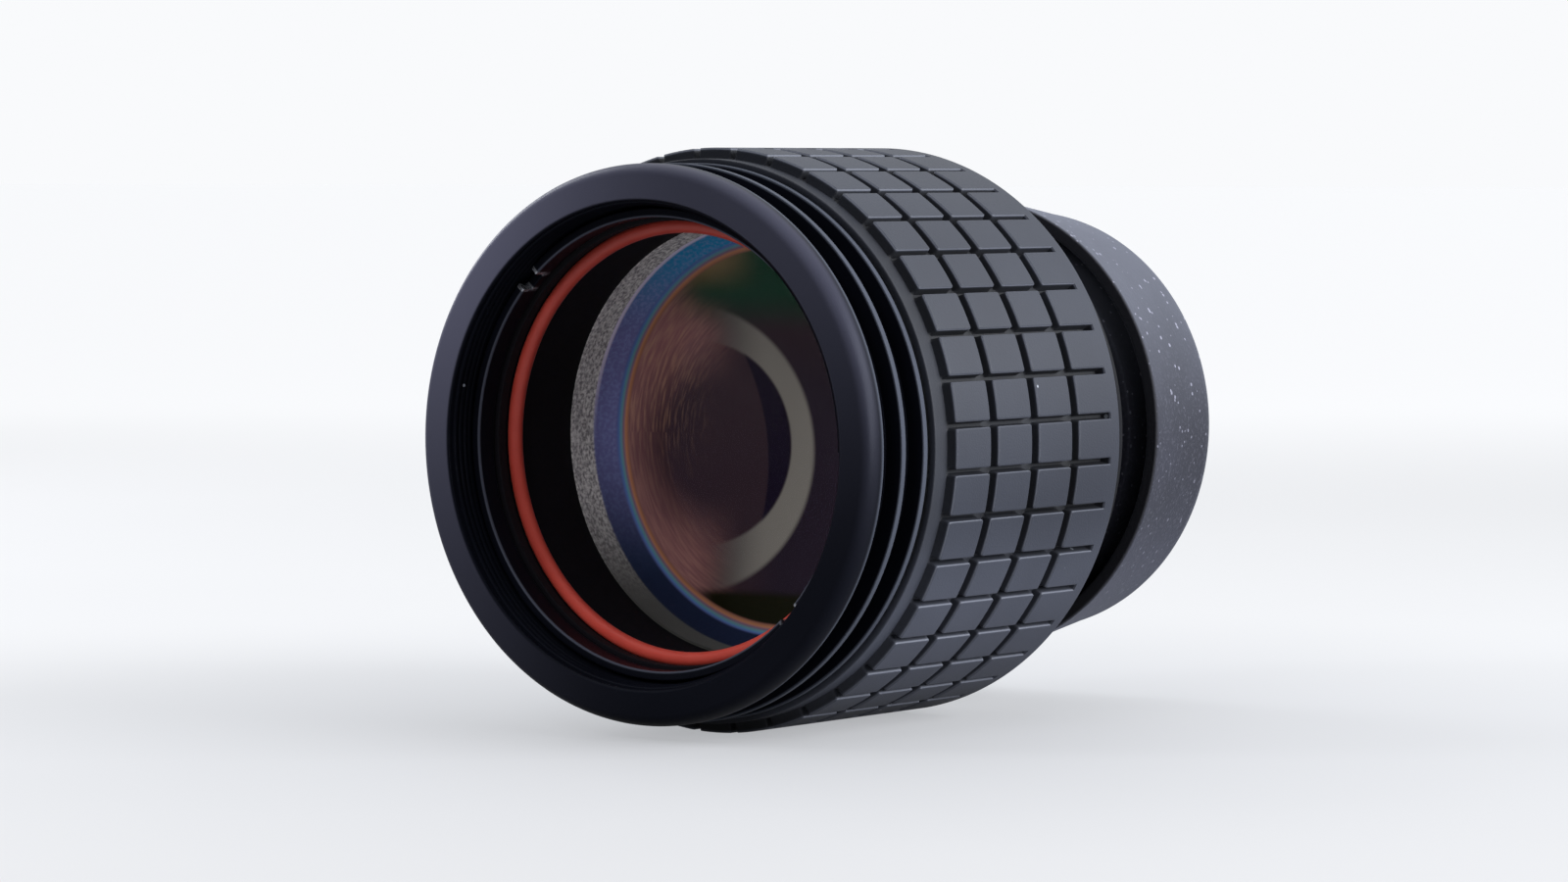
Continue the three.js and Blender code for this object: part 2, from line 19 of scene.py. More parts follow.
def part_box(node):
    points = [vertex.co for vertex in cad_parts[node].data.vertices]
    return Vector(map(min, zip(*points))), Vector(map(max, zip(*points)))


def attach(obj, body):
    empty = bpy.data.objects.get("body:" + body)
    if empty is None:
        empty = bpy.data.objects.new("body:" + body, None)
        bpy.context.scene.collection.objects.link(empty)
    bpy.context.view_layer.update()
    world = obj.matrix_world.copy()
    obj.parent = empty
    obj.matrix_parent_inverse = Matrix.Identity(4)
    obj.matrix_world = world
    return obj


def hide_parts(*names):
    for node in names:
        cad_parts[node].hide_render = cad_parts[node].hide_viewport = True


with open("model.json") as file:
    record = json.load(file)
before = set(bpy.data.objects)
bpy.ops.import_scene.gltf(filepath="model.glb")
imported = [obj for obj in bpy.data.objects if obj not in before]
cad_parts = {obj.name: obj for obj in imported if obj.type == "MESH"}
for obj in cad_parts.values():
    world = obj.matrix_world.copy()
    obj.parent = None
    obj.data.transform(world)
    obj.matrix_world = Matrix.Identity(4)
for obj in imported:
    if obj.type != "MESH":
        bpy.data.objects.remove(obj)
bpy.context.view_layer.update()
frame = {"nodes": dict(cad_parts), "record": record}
nodes = frame["nodes"]

# %% [markdown]
# ## One set of sizes
#
# The axis of the eyepiece runs along +Y. Every length below is in millimetres: a radius from the
# axis, or a depth behind the flat front face. Both come from the boxes of the CAD parts, so the
# smooth pieces can't drift from the parts that they stand for.

# %% Measure the CAD parts
MM = 0.001
FIT = 0.3  # clearance between two pieces that fit together
grip_low, grip_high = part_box("rubber_grip")
AXIS_Z = (grip_low.z + grip_high.z) / 2
FRONT_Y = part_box("main_barrel")[0].y


def span(node):
    """Start, end and radius of a CAD part that is centred on the axis, in millimetres."""
    low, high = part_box(node)
    return (low.y - FRONT_Y) / MM, (high.y - FRONT_Y) / MM, high.x / MM


_, barrel_end, flange_radius = span("main_barrel")
ring_start, ring_end, ring_radius = span("front_retaining_ring")
cell_start, cell_end, cell_radius = span("field_cell")
cord_start, cord_end, cord_outer = span("red_o_ring")
crown_apex, _, crown_radius = span("field_crown_lens")
sleeve_start, sleeve_end, pad_radius = span("rubber_grip")
grip_ring_radius = span("grip_ring")[2]
carrier_start, seat_end, shoulder_radius = span("eyecup_carrier")
clamp_start, clamp_end, clamp_radius = span("eyecup_clamp_ring")
eyecup_start, eyecup_end, lip_radius = span("rubber_eyecup")
tube_start, tube_end, tube_radius = span("eye_tube")
eye_ring_start, eye_ring_end, eye_ring_radius = span("eye_retaining_ring")
_, eye_crown_end, eye_lens_radius = span("eye_crown_lens")
drag_start, drag_end, drag_radius = span("drag_o_ring")
print(f"flange {2 * flange_radius:.1f} mm, grip {2 * pad_radius:.1f} mm,",
      f"length {eyecup_end:.1f} mm")

# %% [markdown]
# ## Shader maths as plain expressions
#
# A material is a graph of small nodes. Wiring each Math node by hand hides the idea behind the
# plumbing, so a socket is wrapped in a small class that knows +, -, * and /. An expression such
# as `1 - mask` then adds its own Math node. One method, `add`, makes any other node. It works in
# every kind of tree, so materials, the studio room and Geometry Nodes all use the same graph.

# %% Wrap a socket, and build a graph
class Wire:
    """An output socket that can be used in sums."""

    def __init__(self, graph, socket):
        self.graph = graph
        self.socket = socket

    def maths(self, operation, *values):
        settings = {"operation": operation}
        return self.graph.add("ShaderNodeMath", settings, dict(enumerate(values)))

    def __add__(self, other):
        return self.maths("ADD", self, other)

    __radd__ = __add__

    def __mul__(self, other):
        return self.maths("MULTIPLY", self, other)

    __rmul__ = __mul__

    def __sub__(self, other):
        return self.maths("SUBTRACT", self, other)

    def __rsub__(self, other):
        return self.maths("SUBTRACT", other, self)

    def __truediv__(self, other):
        return self.maths("DIVIDE", self, other)

    def __gt__(self, other):
        return self.maths("GREATER_THAN", self, other)

    def __lt__(self, other):
        return self.maths("LESS_THAN", self, other)

    def distance(self, other):
        """The distance from the origin of a point that has these two coordinates."""
        return self.maths("SQRT", self * self + other * other)

    def rise(self, low, high):
        """0 below low, 1 above high, and a soft step between them. high may be the lower one."""
        settings = {"interpolation_type": "SMOOTHSTEP"}
        return self.graph.add("ShaderNodeMapRange", settings, {0: self, 1: low, 2: high})


class Graph:
    """A node tree under construction."""

    def __init__(self, tree):
        self.tree = tree
        tree.nodes.clear()

    def add(self, kind, settings=None, inputs=None, output=0):
        """Adds a node: its settings first, then the values or links of its sockets."""
        node = self.tree.nodes.new(kind)
        for key, value in (settings or {}).items():
            if key == "stops":
                elements = node.color_ramp.elements
                while len(elements) < len(value):
                    elements.new(1)
                for element, (position, colour) in zip(elements, value):
                    element.position = position
                    element.color = (*colour, 1)
            else:
                setattr(node, key, value)
        for key, value in (inputs or {}).items():
            socket = node.inputs[key]
            if isinstance(value, Wire):
                self.tree.links.new(value.socket, socket)
            elif socket.type == "RGBA":
                socket.default_value = (*value, 1)
            else:
                socket.default_value = value
        return Wire(self, node.outputs[output])

    def outputs(self, kind, inputs=None):
        """Adds a node and gives all its outputs."""
        node = self.add(kind, None, inputs).socket.node
        return [Wire(self, socket) for socket in node.outputs]

    def end(self, kind, key, result):
        """Ends the tree in an output node."""
        self.tree.links.new(result.socket, self.tree.nodes.new(kind).inputs[key])


# %% Build a finish on the graph
class Finish(Graph):
    """One material under construction."""

    def __init__(self, name):
        self.material = bpy.data.materials.new(name)
        self.material.use_nodes = True
        super().__init__(self.material.node_tree)

    def mix(self, share, first, second):
        """A colour between two colours."""
        settings = {"data_type": "RGBA"}
        return self.add("ShaderNodeMix", settings, {0: share, 6: first, 7: second}, output=2)

    def layered(self, base, *layers):
        """Lays colours over a base one by one, each where its own mask is 1."""
        for mask, colour in layers:
            base = self.mix(mask, base, colour)
        return base

    def place(self):
        """The point on the piece, in metres."""
        return self.add("ShaderNodeTexCoord", output="Object")

    def axial(self):
        """Across, up and behind: x and z from the axis and the depth, all in millimetres."""
        across, along, up = self.outputs("ShaderNodeSeparateXYZ", {0: self.place()})
        return across * 1000, (up - AXIS_Z) * 1000, (along - FRONT_Y) * 1000

    def point(self, *values):
        """Joins up to three numbers to one place for a pattern."""
        return self.add("ShaderNodeCombineXYZ", None, dict(enumerate(values)))

    def grain(self, scale, detail=2, where=None):
        """Soft noise from 0 to 1. The scale is in features to the metre."""
        inputs = {"Vector": where or self.place(), "Scale": scale, "Detail": detail}
        return self.add("ShaderNodeTexNoise", None, inputs)

    def specks(self, scale, size, share):
        """A sparse mask of dust: one speck in some cells of a Voronoi pattern."""
        inputs = {"Vector": self.place(), "Scale": scale}
        distance, colour = self.outputs("ShaderNodeTexVoronoi", inputs)[:2]
        chance, width = self.outputs("ShaderNodeSeparateColor", {0: colour})[:2]
        return (distance < width * size) * (chance < share)

    def bump(self, height, distance, strength):
        inputs = {"Height": height, "Distance": distance, "Strength": strength}
        return self.add("ShaderNodeBump", None, inputs)

    def surface(self, **sockets):
        """Ends the material in one Principled surface. Socket names have _ for their spaces."""
        inputs = {key.replace("_", " "): value for key, value in sockets.items()}
        return self.ended(self.add("ShaderNodeBsdfPrincipled", None, inputs))

    def ended(self, shader):
        """Ends the material in a shader, and gives the material."""
        self.end("ShaderNodeOutputMaterial", "Surface", shader)
        return self.material


def tone(red, green, blue):
    """A colour as a maker would pick it on a screen, from 0 to 255, turned into light."""
    def to_light(value):
        value /= 255
        return value / 12.92 if value <= 0.04045 else ((value + 0.055) / 1.055) ** 2.4
    return tuple(to_light(value) for value in (red, green, blue))


print("a mid grey on screen is", round(tone(128, 128, 128)[0], 3), "of full light")

# %% [markdown]
# ## Black anodised aluminium
#
# The barrel and the rings are bead-blasted and dyed black, so the surface is dark, a little blue,
# and satin rather than shiny. Three scales make it real: a broad drift in tone, the lathe's fine
# rings, which follow the radius and the depth, and the grain of the blasting. The flat front face
# looks into the open room, so it carries a painted highlight in paler navy, most of all at its
# upper left, and the thin rims and the ring's inner edge carry painted highlights too. Handling
# leaves a few specks of dust, and bare metal where an edge was knocked.

# %% Make the metal finishes
THREAD_RADIUS = 24.0
MOUTH_CHAMFER = 0.25
SHOULDER_DEPTH = 1.9
RIM_END = 2.5
RING_WALL = 0.9
mouth_radius = THREAD_RADIUS + MOUTH_CHAMFER
ring_bore = ring_radius - RING_WALL
DUST = tone(150, 155, 165)
BARE_METAL = tone(190, 192, 200)
# colours of the painted highlights on the front face, the rims and the ring's inner edge
FACE_PAINTED_HIGHLIGHT = (0.135, 0.135, 0.195)
RIM_PAINTED_HIGHLIGHT = (0.085, 0.095, 0.125)
BORE_EDGE_PAINTED_HIGHLIGHT = (0.070, 0.075, 0.100)
COOL_SHINE = (0.78, 0.82, 1.0)


def anodised(name, dark, light, roughness, shine):
    finish = Finish(name)
    across, up, behind = finish.axial()
    radius = across.distance(up)
    lathe = finish.grain(9, 3, where=finish.point(radius, behind))
    drift = finish.grain(70)
    blast = finish.grain(6500, 1)

    # painted highlights where the light catches: the flat face, most of all at its upper left,
    # the rims of flange and fins, the ring's inner edge
    painted_light_side = up.rise(-THREAD_RADIUS, THREAD_RADIUS) * 0.55 + across.rise(8, -26) * 0.45
    face = behind.rise(2.2, 1.2) * radius.rise(mouth_radius - 0.15, mouth_radius + 0.05)
    rims = radius.rise(flange_radius - 0.25, flange_radius - 0.10)
    rims = rims * behind.rise(SHOULDER_DEPTH, RIM_END - 0.1)
    bore_edge = radius.rise(ring_bore + 0.25, ring_bore + 0.12)
    bore_edge = bore_edge * behind.rise(ring_start - 0.1, ring_start)
    bore_edge = bore_edge * behind.rise(ring_start + 0.30, ring_start + 0.15)

    dust = finish.specks(300, 0.10, 0.10)
    worn = finish.add("ShaderNodeAttribute", {"attribute_name": "worn"}, output="Fac")
    scuffed = worn * finish.grain(1500).rise(0.35, 0.6)
    base = finish.layered(
        finish.mix(drift, dark, light),
        (face * painted_light_side * painted_light_side, FACE_PAINTED_HIGHLIGHT),
        (rims * (0.4 + drift * 0.5), RIM_PAINTED_HIGHLIGHT),
        (bore_edge, BORE_EDGE_PAINTED_HIGHLIGHT),
        (dust, DUST),
        (scuffed, BARE_METAL))
    return finish.surface(Base_Color=base, Metallic=scuffed * 0.9,
                          Roughness=roughness + drift * 0.10 + dust * 0.3 - scuffed * 0.1,
                          Normal=finish.bump(blast * 0.7 + lathe * 0.5, 0.00004, 0.35),
                          Specular_IOR_Level=shine, Specular_Tint=COOL_SHINE)


black_anodised = anodised("black_anodised", (0.003, 0.0033, 0.0055), (0.006, 0.0068, 0.012),
                          roughness=0.31, shine=0.07)
# a darker copy for the carrier's neck behind the grip: painted shade
neck_anodised_painted_shade = anodised("black_anodised_neck", (0.0015, 0.0016, 0.0022),
                         (0.003, 0.0033, 0.005), roughness=0.50, shine=0.10)


def matt_paint():
    finish = Finish("black_paint")
    drift = finish.grain(120)
    spray = finish.grain(4200)
    base = finish.mix(drift, (0.0050, 0.0042, 0.0060), (0.010, 0.0085, 0.012))
    return finish.surface(Base_Color=base, Roughness=0.72 + spray * 0.15,
                          Normal=finish.bump(spray, 0.00006, 0.4), Specular_IOR_Level=0.25)


def turned_steel():
    finish = Finish("steel")
    across, up, behind = finish.axial()
    lines = finish.grain(14, where=finish.point(behind, across, up))
    base = finish.mix(lines, tone(160, 161, 164), tone(205, 206, 210))
    return finish.surface(Base_Color=base, Metallic=1.0, Roughness=0.25 + lines * 0.15,
                          Normal=finish.bump(lines, 0.00002, 0.3))


def washer_nylon():
    finish = Finish("nylon")
    cloud = finish.grain(600)
    base = finish.mix(cloud, tone(212, 211, 200), tone(228, 227, 218))
    return finish.surface(Base_Color=base, Roughness=0.45 + cloud * 0.12,
                          Normal=finish.bump(cloud, 0.00003, 0.3), Subsurface_Weight=0.1)


black_paint = matt_paint()
steel = turned_steel()
nylon = washer_nylon()
print("metal finishes:", black_anodised.name, black_paint.name, steel.name, nylon.name)

# %% [markdown]
# ## Rubber and silicone
#
# The grip is a firm moulded rubber: dark, slightly blue, with a fine stipple and a satin sheen
# where fingers polish the pad tops. Its pads carry painted highlights on their top edges, the
# grooves between them painted shade, and the lower side a paler painted bounce light from the
# table, with a few specks of dust. The eyecup is softer and paler, because soft rubber holds skin
# dust, and it has a visible speckle; its upper side is painted paler as light from above, and its
# lip is painted darker where it faces the grip. The seal behind the mouth is a cord of red
# silicone with a smooth skin and a faint moulding bloom.

# %% Make the soft finishes
FRONT_BAND = 2.3
pad_start = sleeve_start + FRONT_BAND
GROOVE_PAINTED_SHADE = (0.0012, 0.0013, 0.0018)
CORNER_PAINTED_HIGHLIGHT = (0.16, 0.17, 0.21)
UNDERSIDE_PAINTED_BOUNCE_LIGHT = (0.080, 0.088, 0.120)
TOP_PAINTED_LIGHT = (0.105, 0.112, 0.140)
SKIN_DUST = (0.080, 0.080, 0.104)


def grip_compound():
    finish = Finish("grip_rubber")
    across, up, behind = finish.axial()
    radius = across.distance(up)
    polished = radius.rise(pad_radius - 0.5, pad_radius - 0.05)
    drift = finish.grain(60, 3)
    stipple = finish.grain(5200)
    # a paler lower side: painted bounce light from the table
    underside = up.rise(-5, -17) * up.rise(-29, -25)
    # painted shade down in the grooves
    sunk = radius.rise(pad_radius - 0.10, pad_radius - 0.40) * (behind > pad_start - 0.25)
    # painted highlight along the pads' top edges
    corners = radius.rise(pad_radius - 0.24, pad_radius - 0.12)
    corners = corners * radius.rise(pad_radius - 0.01, pad_radius - 0.04)
    base = finish.layered(
        finish.mix(polished, (0.011, 0.012, 0.017), (0.018, 0.021, 0.033)),
        (drift.rise(0.3, 0.8) * 0.5, (0.028, 0.033, 0.050)),
        (underside * (0.3 + drift * 0.5), UNDERSIDE_PAINTED_BOUNCE_LIGHT),
        (finish.specks(420, 0.12, 0.05), DUST),
        (sunk * 0.45, GROOVE_PAINTED_SHADE),
        (corners * (0.3 + drift * 0.6), CORNER_PAINTED_HIGHLIGHT))
    return finish.surface(Base_Color=base, Roughness=0.60 - polished * 0.14 + stipple * 0.12,
                          Specular_IOR_Level=0.38,
                          Normal=finish.bump(stipple, 0.00005, 0.45))


def eyecup_compound():
    finish = Finish("eyecup_rubber")
    _, up, behind = finish.axial()
    drift = finish.grain(55, 4)
    speckle = finish.grain(2600, 3)
    pale = finish.specks(1300, 0.30, 0.45)
    # painted shade on the front face of the lip, which faces the grip
    lip_painted_shade = behind.rise(eyecup_start + 0.35, eyecup_start + 0.05)
    # the upper side is painted paler as light from above; the pale dust specks grow stronger there
    # too, which adds to that painted light
    base = finish.layered(
        finish.mix(drift.rise(0.3, 0.7), (0.013, 0.0135, 0.021), (0.027, 0.028, 0.044)),
        (up.rise(-4, 18) * (0.35 + drift * 0.6), TOP_PAINTED_LIGHT),
        (speckle.rise(0.5, 0.75) * 0.5, SKIN_DUST),
        (pale * (0.35 + up.rise(-6, 10) * 0.5), tone(140, 140, 156)),
        (lip_painted_shade, (0.010, 0.010, 0.014)))
    return finish.surface(Base_Color=base, Roughness=0.74 + speckle * 0.14,
                          Normal=finish.bump(speckle, 0.00010, 0.5),
                          Sheen_Weight=0.12, Sheen_Roughness=0.5, Sheen_Tint=(0.75, 0.8, 1.0),
                          Specular_IOR_Level=0.30)


def seal_silicone():
    finish = Finish("red_silicone")
    bloom = finish.grain(350, 3)
    skin = finish.grain(4000, 1)
    base = finish.mix(bloom, (0.58, 0.058, 0.040), (0.70, 0.092, 0.064))
    return finish.surface(Base_Color=base, Roughness=0.36 + bloom * 0.12,
                          Normal=finish.bump(skin, 0.00002, 0.3),
                          Subsurface_Weight=0.08, Subsurface_Scale=0.001)


grip_rubber = grip_compound()
eyecup_rubber = eyecup_compound()
red_silicone = seal_silicone()
print("soft finishes:", grip_rubber.name, eyecup_rubber.name, red_silicone.name)

# %% [markdown]
# ## How a turned part is made
#
# A lathe part is one outline spun about the axis. Real edges are never perfectly sharp, so each
# corner of the outline is rounded a little, and a close extra point on each side of the curve
# keeps the flat faces flat when the piece is shaded smooth.

# %% Round an outline and turn it
SIDES = 256
EDGE = 0.12
EDGE_STEPS = 4
NEARLY_STRAIGHT = math.radians(160)


def rounded(outline, radius=EDGE):
    """The outline with each corner replaced by a short curve between two holding points."""
    points = []
    for i, corner in enumerate(outline):
        here = Vector(corner)
        back = Vector(outline[i - 1]) - here
        ahead = Vector(outline[(i + 1) % len(outline)]) - here
        if back.angle(ahead) > NEARLY_STRAIGHT:
            points.append(tuple(here))
            continue
        cut = min(radius, 0.35 * back.length, 0.35 * ahead.length)
        hold = 0.2 * cut
        back.normalize()
        ahead.normalize()
        points.append(tuple(here + back * (cut + hold)))
        for step in range(EDGE_STEPS + 1):
            t = step / EDGE_STEPS
            points.append(tuple(here + back * (cut * (1 - t) ** 2) + ahead * (cut * t * t)))
        points.append(tuple(here + ahead * (cut + hold)))
    return points


def even_angles(count=SIDES):
    return [2 * math.pi * i / count for i in range(count)]


def turned(name, outline, material, angles=None, closed=True, reshape=None):
    """Spins an outline of (radius, depth) about the axis.

    reshape(angle, radius, depth) may move a point, and returns its radius, depth and wear.
    An open outline that starts and ends on the axis becomes a solid with a pole at each end.
    """
    angles = angles or even_angles()
    mesh = bmesh.new()
    wear = mesh.verts.layers.float.new("worn")
    columns = []
    for angle in angles:
        column = []
        for radius, depth in outline:
            worn = 0.0
            if reshape:
                radius, depth, worn = reshape(angle, radius, depth)
            point = mesh.verts.new((radius * MM * math.cos(angle), FRONT_Y + depth * MM,
                                    AXIS_Z + radius * MM * math.sin(angle)))
            point[wear] = worn
            column.append(point)
        columns.append(column)
    rows = len(outline)
    for i, column in enumerate(columns):
        beside = columns[(i + 1) % len(columns)]
        for row in range(rows if closed else rows - 1):
            above = (row + 1) % rows
            mesh.faces.new((column[row], column[above], beside[above], beside[row]))
    if not closed:
        bmesh.ops.remove_doubles(mesh, verts=mesh.verts, dist=1e-7)
    bmesh.ops.recalc_face_normals(mesh, faces=mesh.faces)
    return to_piece(name, mesh, material)


def to_piece(name, mesh, material):
    """A smooth-shaded object from a bmesh, with true edges kept crisp."""
    data = bpy.data.meshes.new(name)
    mesh.to_mesh(data)
    mesh.free()
    data.materials.append(material)
    data.polygons.foreach_set("use_smooth", [True] * len(data.polygons))
    data.set_sharp_from_angle(angle=math.radians(50))
    piece = bpy.data.objects.new(name, data)
    bpy.context.scene.collection.objects.link(piece)
    return piece


def fitted(piece, body, slot, *replaced):
    """Puts a finished piece on its CAD body, in place of the CAD parts that it stands for."""
    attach(piece, body)
    if replaced:
        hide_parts(*replaced)
    print(f"{piece.name}: {len(piece.data.polygons)} faces on {body}")
    return piece


def arc(start, end, steps, along_first):
    """Points on a quarter of an ellipse between two outline points, without its ends."""
    points = []
    for i in range(1, steps):
        angle = i / steps * math.pi / 2
        rising, falling = math.sin(angle), 1 - math.cos(angle)
        share_radius, share_depth = (falling, rising) if along_first else (rising, falling)
        points.append((start[0] + (end[0] - start[0]) * share_radius,
                       start[1] + (end[1] - start[1]) * share_depth))
    return points


def dome(radius, bulge, depth, steps=24):
    """Outline of a spherical cap from its edge to the axis. A positive bulge comes forward."""
    curve = (radius * radius + bulge * bulge) / (2 * abs(bulge))
    points = []
    for i in range(steps + 1):
        at = radius * (1 - i / steps)
        rise = math.sqrt(curve * curve - at * at) - (curve - abs(bulge))
        points.append((at, depth - math.copysign(rise, bulge)))
    return points


print("a square corner becomes", len(rounded([(0, 0), (1, 0), (1, 1), (0, 1)])) // 4, "points")

# %% [markdown]
# ## The barrel
#
# One turned part carries the flange with its rounded front edge, two thin fins like those of a
# radiator, the long journal that the grip turns on, and the mouth. The wall of the mouth is left
# smooth here, because the thread is a piece of its own.

# %% Turn the barrel
THREAD_DEPTH = 0.4
THREAD_PITCH = 0.75
THREAD_TURNS = 7
THREAD_START = 0.6
THREAD_RUNOUT = 0.4
SHOULDER_WIDTH = 1.15
FIN_COUNT = 2
FIN_PITCH = 3.7
FIN_WIDTH = 0.7
FIN_DEPTH = 1.9
GRIP_RING_WALL = 1.4
STOP_LIP_WIDTH = 0.9
thread_minor = THREAD_RADIUS - THREAD_DEPTH
thread_end = THREAD_START + THREAD_TURNS * THREAD_PITCH + THREAD_RUNOUT
face_radius = flange_radius - SHOULDER_WIDTH
fin_floor = flange_radius - FIN_DEPTH
journal_radius = grip_ring_radius - GRIP_RING_WALL - FIT
last_fin_end = RIM_END + FIN_COUNT * FIN_PITCH
stop_lip_bore = tube_radius + FIT
stop_lip_start = cell_end + FIT
stop_lip_end = stop_lip_start + STOP_LIP_WIDTH


def barrel_outline():
    outer = [(mouth_radius, 0), (face_radius, 0)]
    outer += arc((face_radius, 0), (flange_radius, SHOULDER_DEPTH), 10, False)
    outer += [(flange_radius, SHOULDER_DEPTH), (flange_radius, RIM_END)]
    for fin in range(1, FIN_COUNT + 1):
        fin_end = RIM_END + fin * FIN_PITCH
        outer += [(fin_floor, fin_end - FIN_PITCH), (fin_floor, fin_end - FIN_WIDTH),
                  (flange_radius, fin_end - FIN_WIDTH), (flange_radius, fin_end)]
    outer += [(journal_radius, last_fin_end), (journal_radius, barrel_end)]
    inner = [(thread_minor, barrel_end), (thread_minor, stop_lip_end),
             (stop_lip_bore, stop_lip_end), (stop_lip_bore, stop_lip_start),
             (thread_minor, stop_lip_start), (thread_minor, thread_end),
             (THREAD_RADIUS, thread_end), (THREAD_RADIUS, MOUTH_CHAMFER)]
    return outer + inner


barrel = turned("barrel", rounded(barrel_outline()), black_anodised)
fitted(barrel, "barrel", "black_anodised", "main_barrel")

# %% [markdown]
# ## The thread in the mouth
#
# The telescope end has a fine thread, 0.75 mm from one turn to the next. A thread is a small
# triangle carried along a helix, which is just what Curve to Mesh does, so this is a job for
# Geometry Nodes: a Spiral gives the helix and a three-sided profile gives the ridge.

# %% Sweep the thread
def new_tree(name, **inputs):
    """A geometry node tree with geometry in and out. Gives its graph and its named inputs."""
    tree = bpy.data.node_groups.new(name, "GeometryNodeTree")
    tree.interface.new_socket("Geometry", in_out="INPUT", socket_type="NodeSocketGeometry")
    for key, (kind, value) in inputs.items():
        socket = tree.interface.new_socket(key, in_out="INPUT", socket_type="NodeSocket" + kind)
        if value is not None:
            socket.default_value = value
    tree.interface.new_socket("Geometry", in_out="OUTPUT", socket_type="NodeSocketGeometry")
    graph = Graph(tree)
    return graph, {wire.socket.name: wire for wire in graph.outputs("NodeGroupInput")}


def end_tree(graph, geometry, material):
    """Every tree ends in real geometry with its material set."""
    real = graph.add("GeometryNodeRealizeInstances", None, {"Geometry": geometry})
    smooth = graph.add("GeometryNodeSetShadeSmooth", None, {"Geometry": real})
    painted = graph.add("GeometryNodeSetMaterial", None,
                        {"Geometry": smooth, "Material": material})
    graph.end("NodeGroupOutput", "Geometry", painted)
    return graph.tree


def grown(name, tree, start_mesh, **values):
    """Runs a tree on a mesh and returns its result as a plain mesh object."""
    seed = bpy.data.objects.new(name + "_seed", start_mesh)
    bpy.context.scene.collection.objects.link(seed)
    modifier = seed.modifiers.new("grow", "NODES")
    modifier.node_group = tree
    for item in tree.interface.items_tree:
        if item.in_out == "INPUT" and item.name in values:
            modifier[item.identifier] = values[item.name]
    graph = bpy.context.evaluated_depsgraph_get()
    data = bpy.data.meshes.new_from_object(seed.evaluated_get(graph))
    data.name = name
    bpy.data.objects.remove(seed)
    piece = bpy.data.objects.new(name, data)
    bpy.context.scene.collection.objects.link(piece)
    return piece


def thread_tree():
    graph, given = new_tree(
        "swept_thread", Radius=("Float", 0.024), Height=("Float", 0.0004),
        Pitch=("Float", 0.00075), Turns=("Float", 7.0), Start=("Float", 0.0),
        Axis=("Float", 0.03), Material=("Material", None))
    helix = graph.add("GeometryNodeCurveSpiral", None, {
        "Resolution": SIDES, "Rotations": given["Turns"], "Start Radius": given["Radius"],
        "End Radius": given["Radius"], "Height": given["Pitch"] * given["Turns"]})
    upright = graph.add("GeometryNodeSetCurveNormal", {"mode": "Z_UP"}, {"Curve": helix})
    profile = graph.add("GeometryNodeCurvePrimitiveCircle", None,
                        {"Resolution": 3, "Radius": given["Height"]})
    ridge = graph.add("GeometryNodeCurveToMesh", None,
                      {"Curve": upright, "Profile Curve": profile, "Fill Caps": True})
    place = graph.add("ShaderNodeCombineXYZ", None, {"Y": given["Start"], "Z": given["Axis"]})
    laid = graph.add("GeometryNodeTransform", None, {
        "Geometry": ridge, "Translation": place, "Rotation": (-math.pi / 2, 0.0, 0.0)})
    return end_tree(graph, laid, given["Material"])


empty_mesh = bpy.data.meshes.new("thread_start")
thread = grown("mouth_thread", thread_tree(), empty_mesh, Radius=THREAD_RADIUS * MM,
               Height=THREAD_DEPTH * MM, Pitch=THREAD_PITCH * MM, Turns=float(THREAD_TURNS),
               Start=FRONT_Y + THREAD_START * MM, Axis=AXIS_Z, Material=black_anodised)
fitted(thread, "barrel", "black_anodised")

# %% [markdown]
# ## The retaining ring and its spanner slots
#
# A thin ring screws in behind the thread and holds the lens cell. Two slots across from each
# other take a pin spanner, and their edges are the first place where the black wears off. The
# ring is turned from its outline, with close columns of points at each slot so that the wall of
# the slot stands straight.

# %% Turn the retaining ring
SLOT_WIDTH = 2.2
SLOT_DEPTH = 1.3
SLOT_LIP = 0.002  # spacing of the close columns, in radians
RING_SIDES = 192


def turn_between(angle, other):
    return abs((angle - other + math.pi) % (2 * math.pi) - math.pi)


def slotted(name, inner, outer, start, end, slot_degrees, slots_at_end=False):
    """A ring whose front or rear face has two opposite slots."""
    half = SLOT_WIDTH / 2 / ((inner + outer) / 2)
    middle = (start + end) / 2
    centres = [math.radians(slot_degrees), math.radians(slot_degrees + 180)]
    edges = [(centre + side * half, side) for centre in centres for side in (-1, 1)]
    angles = even_angles(RING_SIDES)
    for edge, side in edges:
        angles += [edge + side * offset * SLOT_LIP for offset in (-8, -1, 0.2, 5)]
    angles = sorted(angle % (2 * math.pi) for angle in angles)

    def cut(angle, radius, depth):
        cut_face = depth > middle if slots_at_end else depth < middle
        near = min(turn_between(angle, edge) for edge, _ in edges)
        worn = 1.0 if near < 6 * SLOT_LIP and cut_face else 0.0
        if cut_face and min(turn_between(angle, centre) for centre in centres) < half:
            depth += -SLOT_DEPTH if slots_at_end else SLOT_DEPTH
        return radius, depth, worn

    outline = rounded([(inner, start), (outer, start), (outer, end), (inner, end)], 0.15)
    return turned(name, outline, black_anodised, angles=angles, reshape=cut)


ring = slotted("retaining_ring", ring_bore, ring_radius, ring_start, ring_end, 135)
fitted(ring, "barrel", "black_anodised", "front_retaining_ring")

# %% [markdown]
# ## The lens cell and its red seal
#
# Behind the ring sits the cell, a plain tube painted matt black inside to kill stray light. A
# groove near its front holds a cord of red silicone, the one bright colour on the eyepiece.

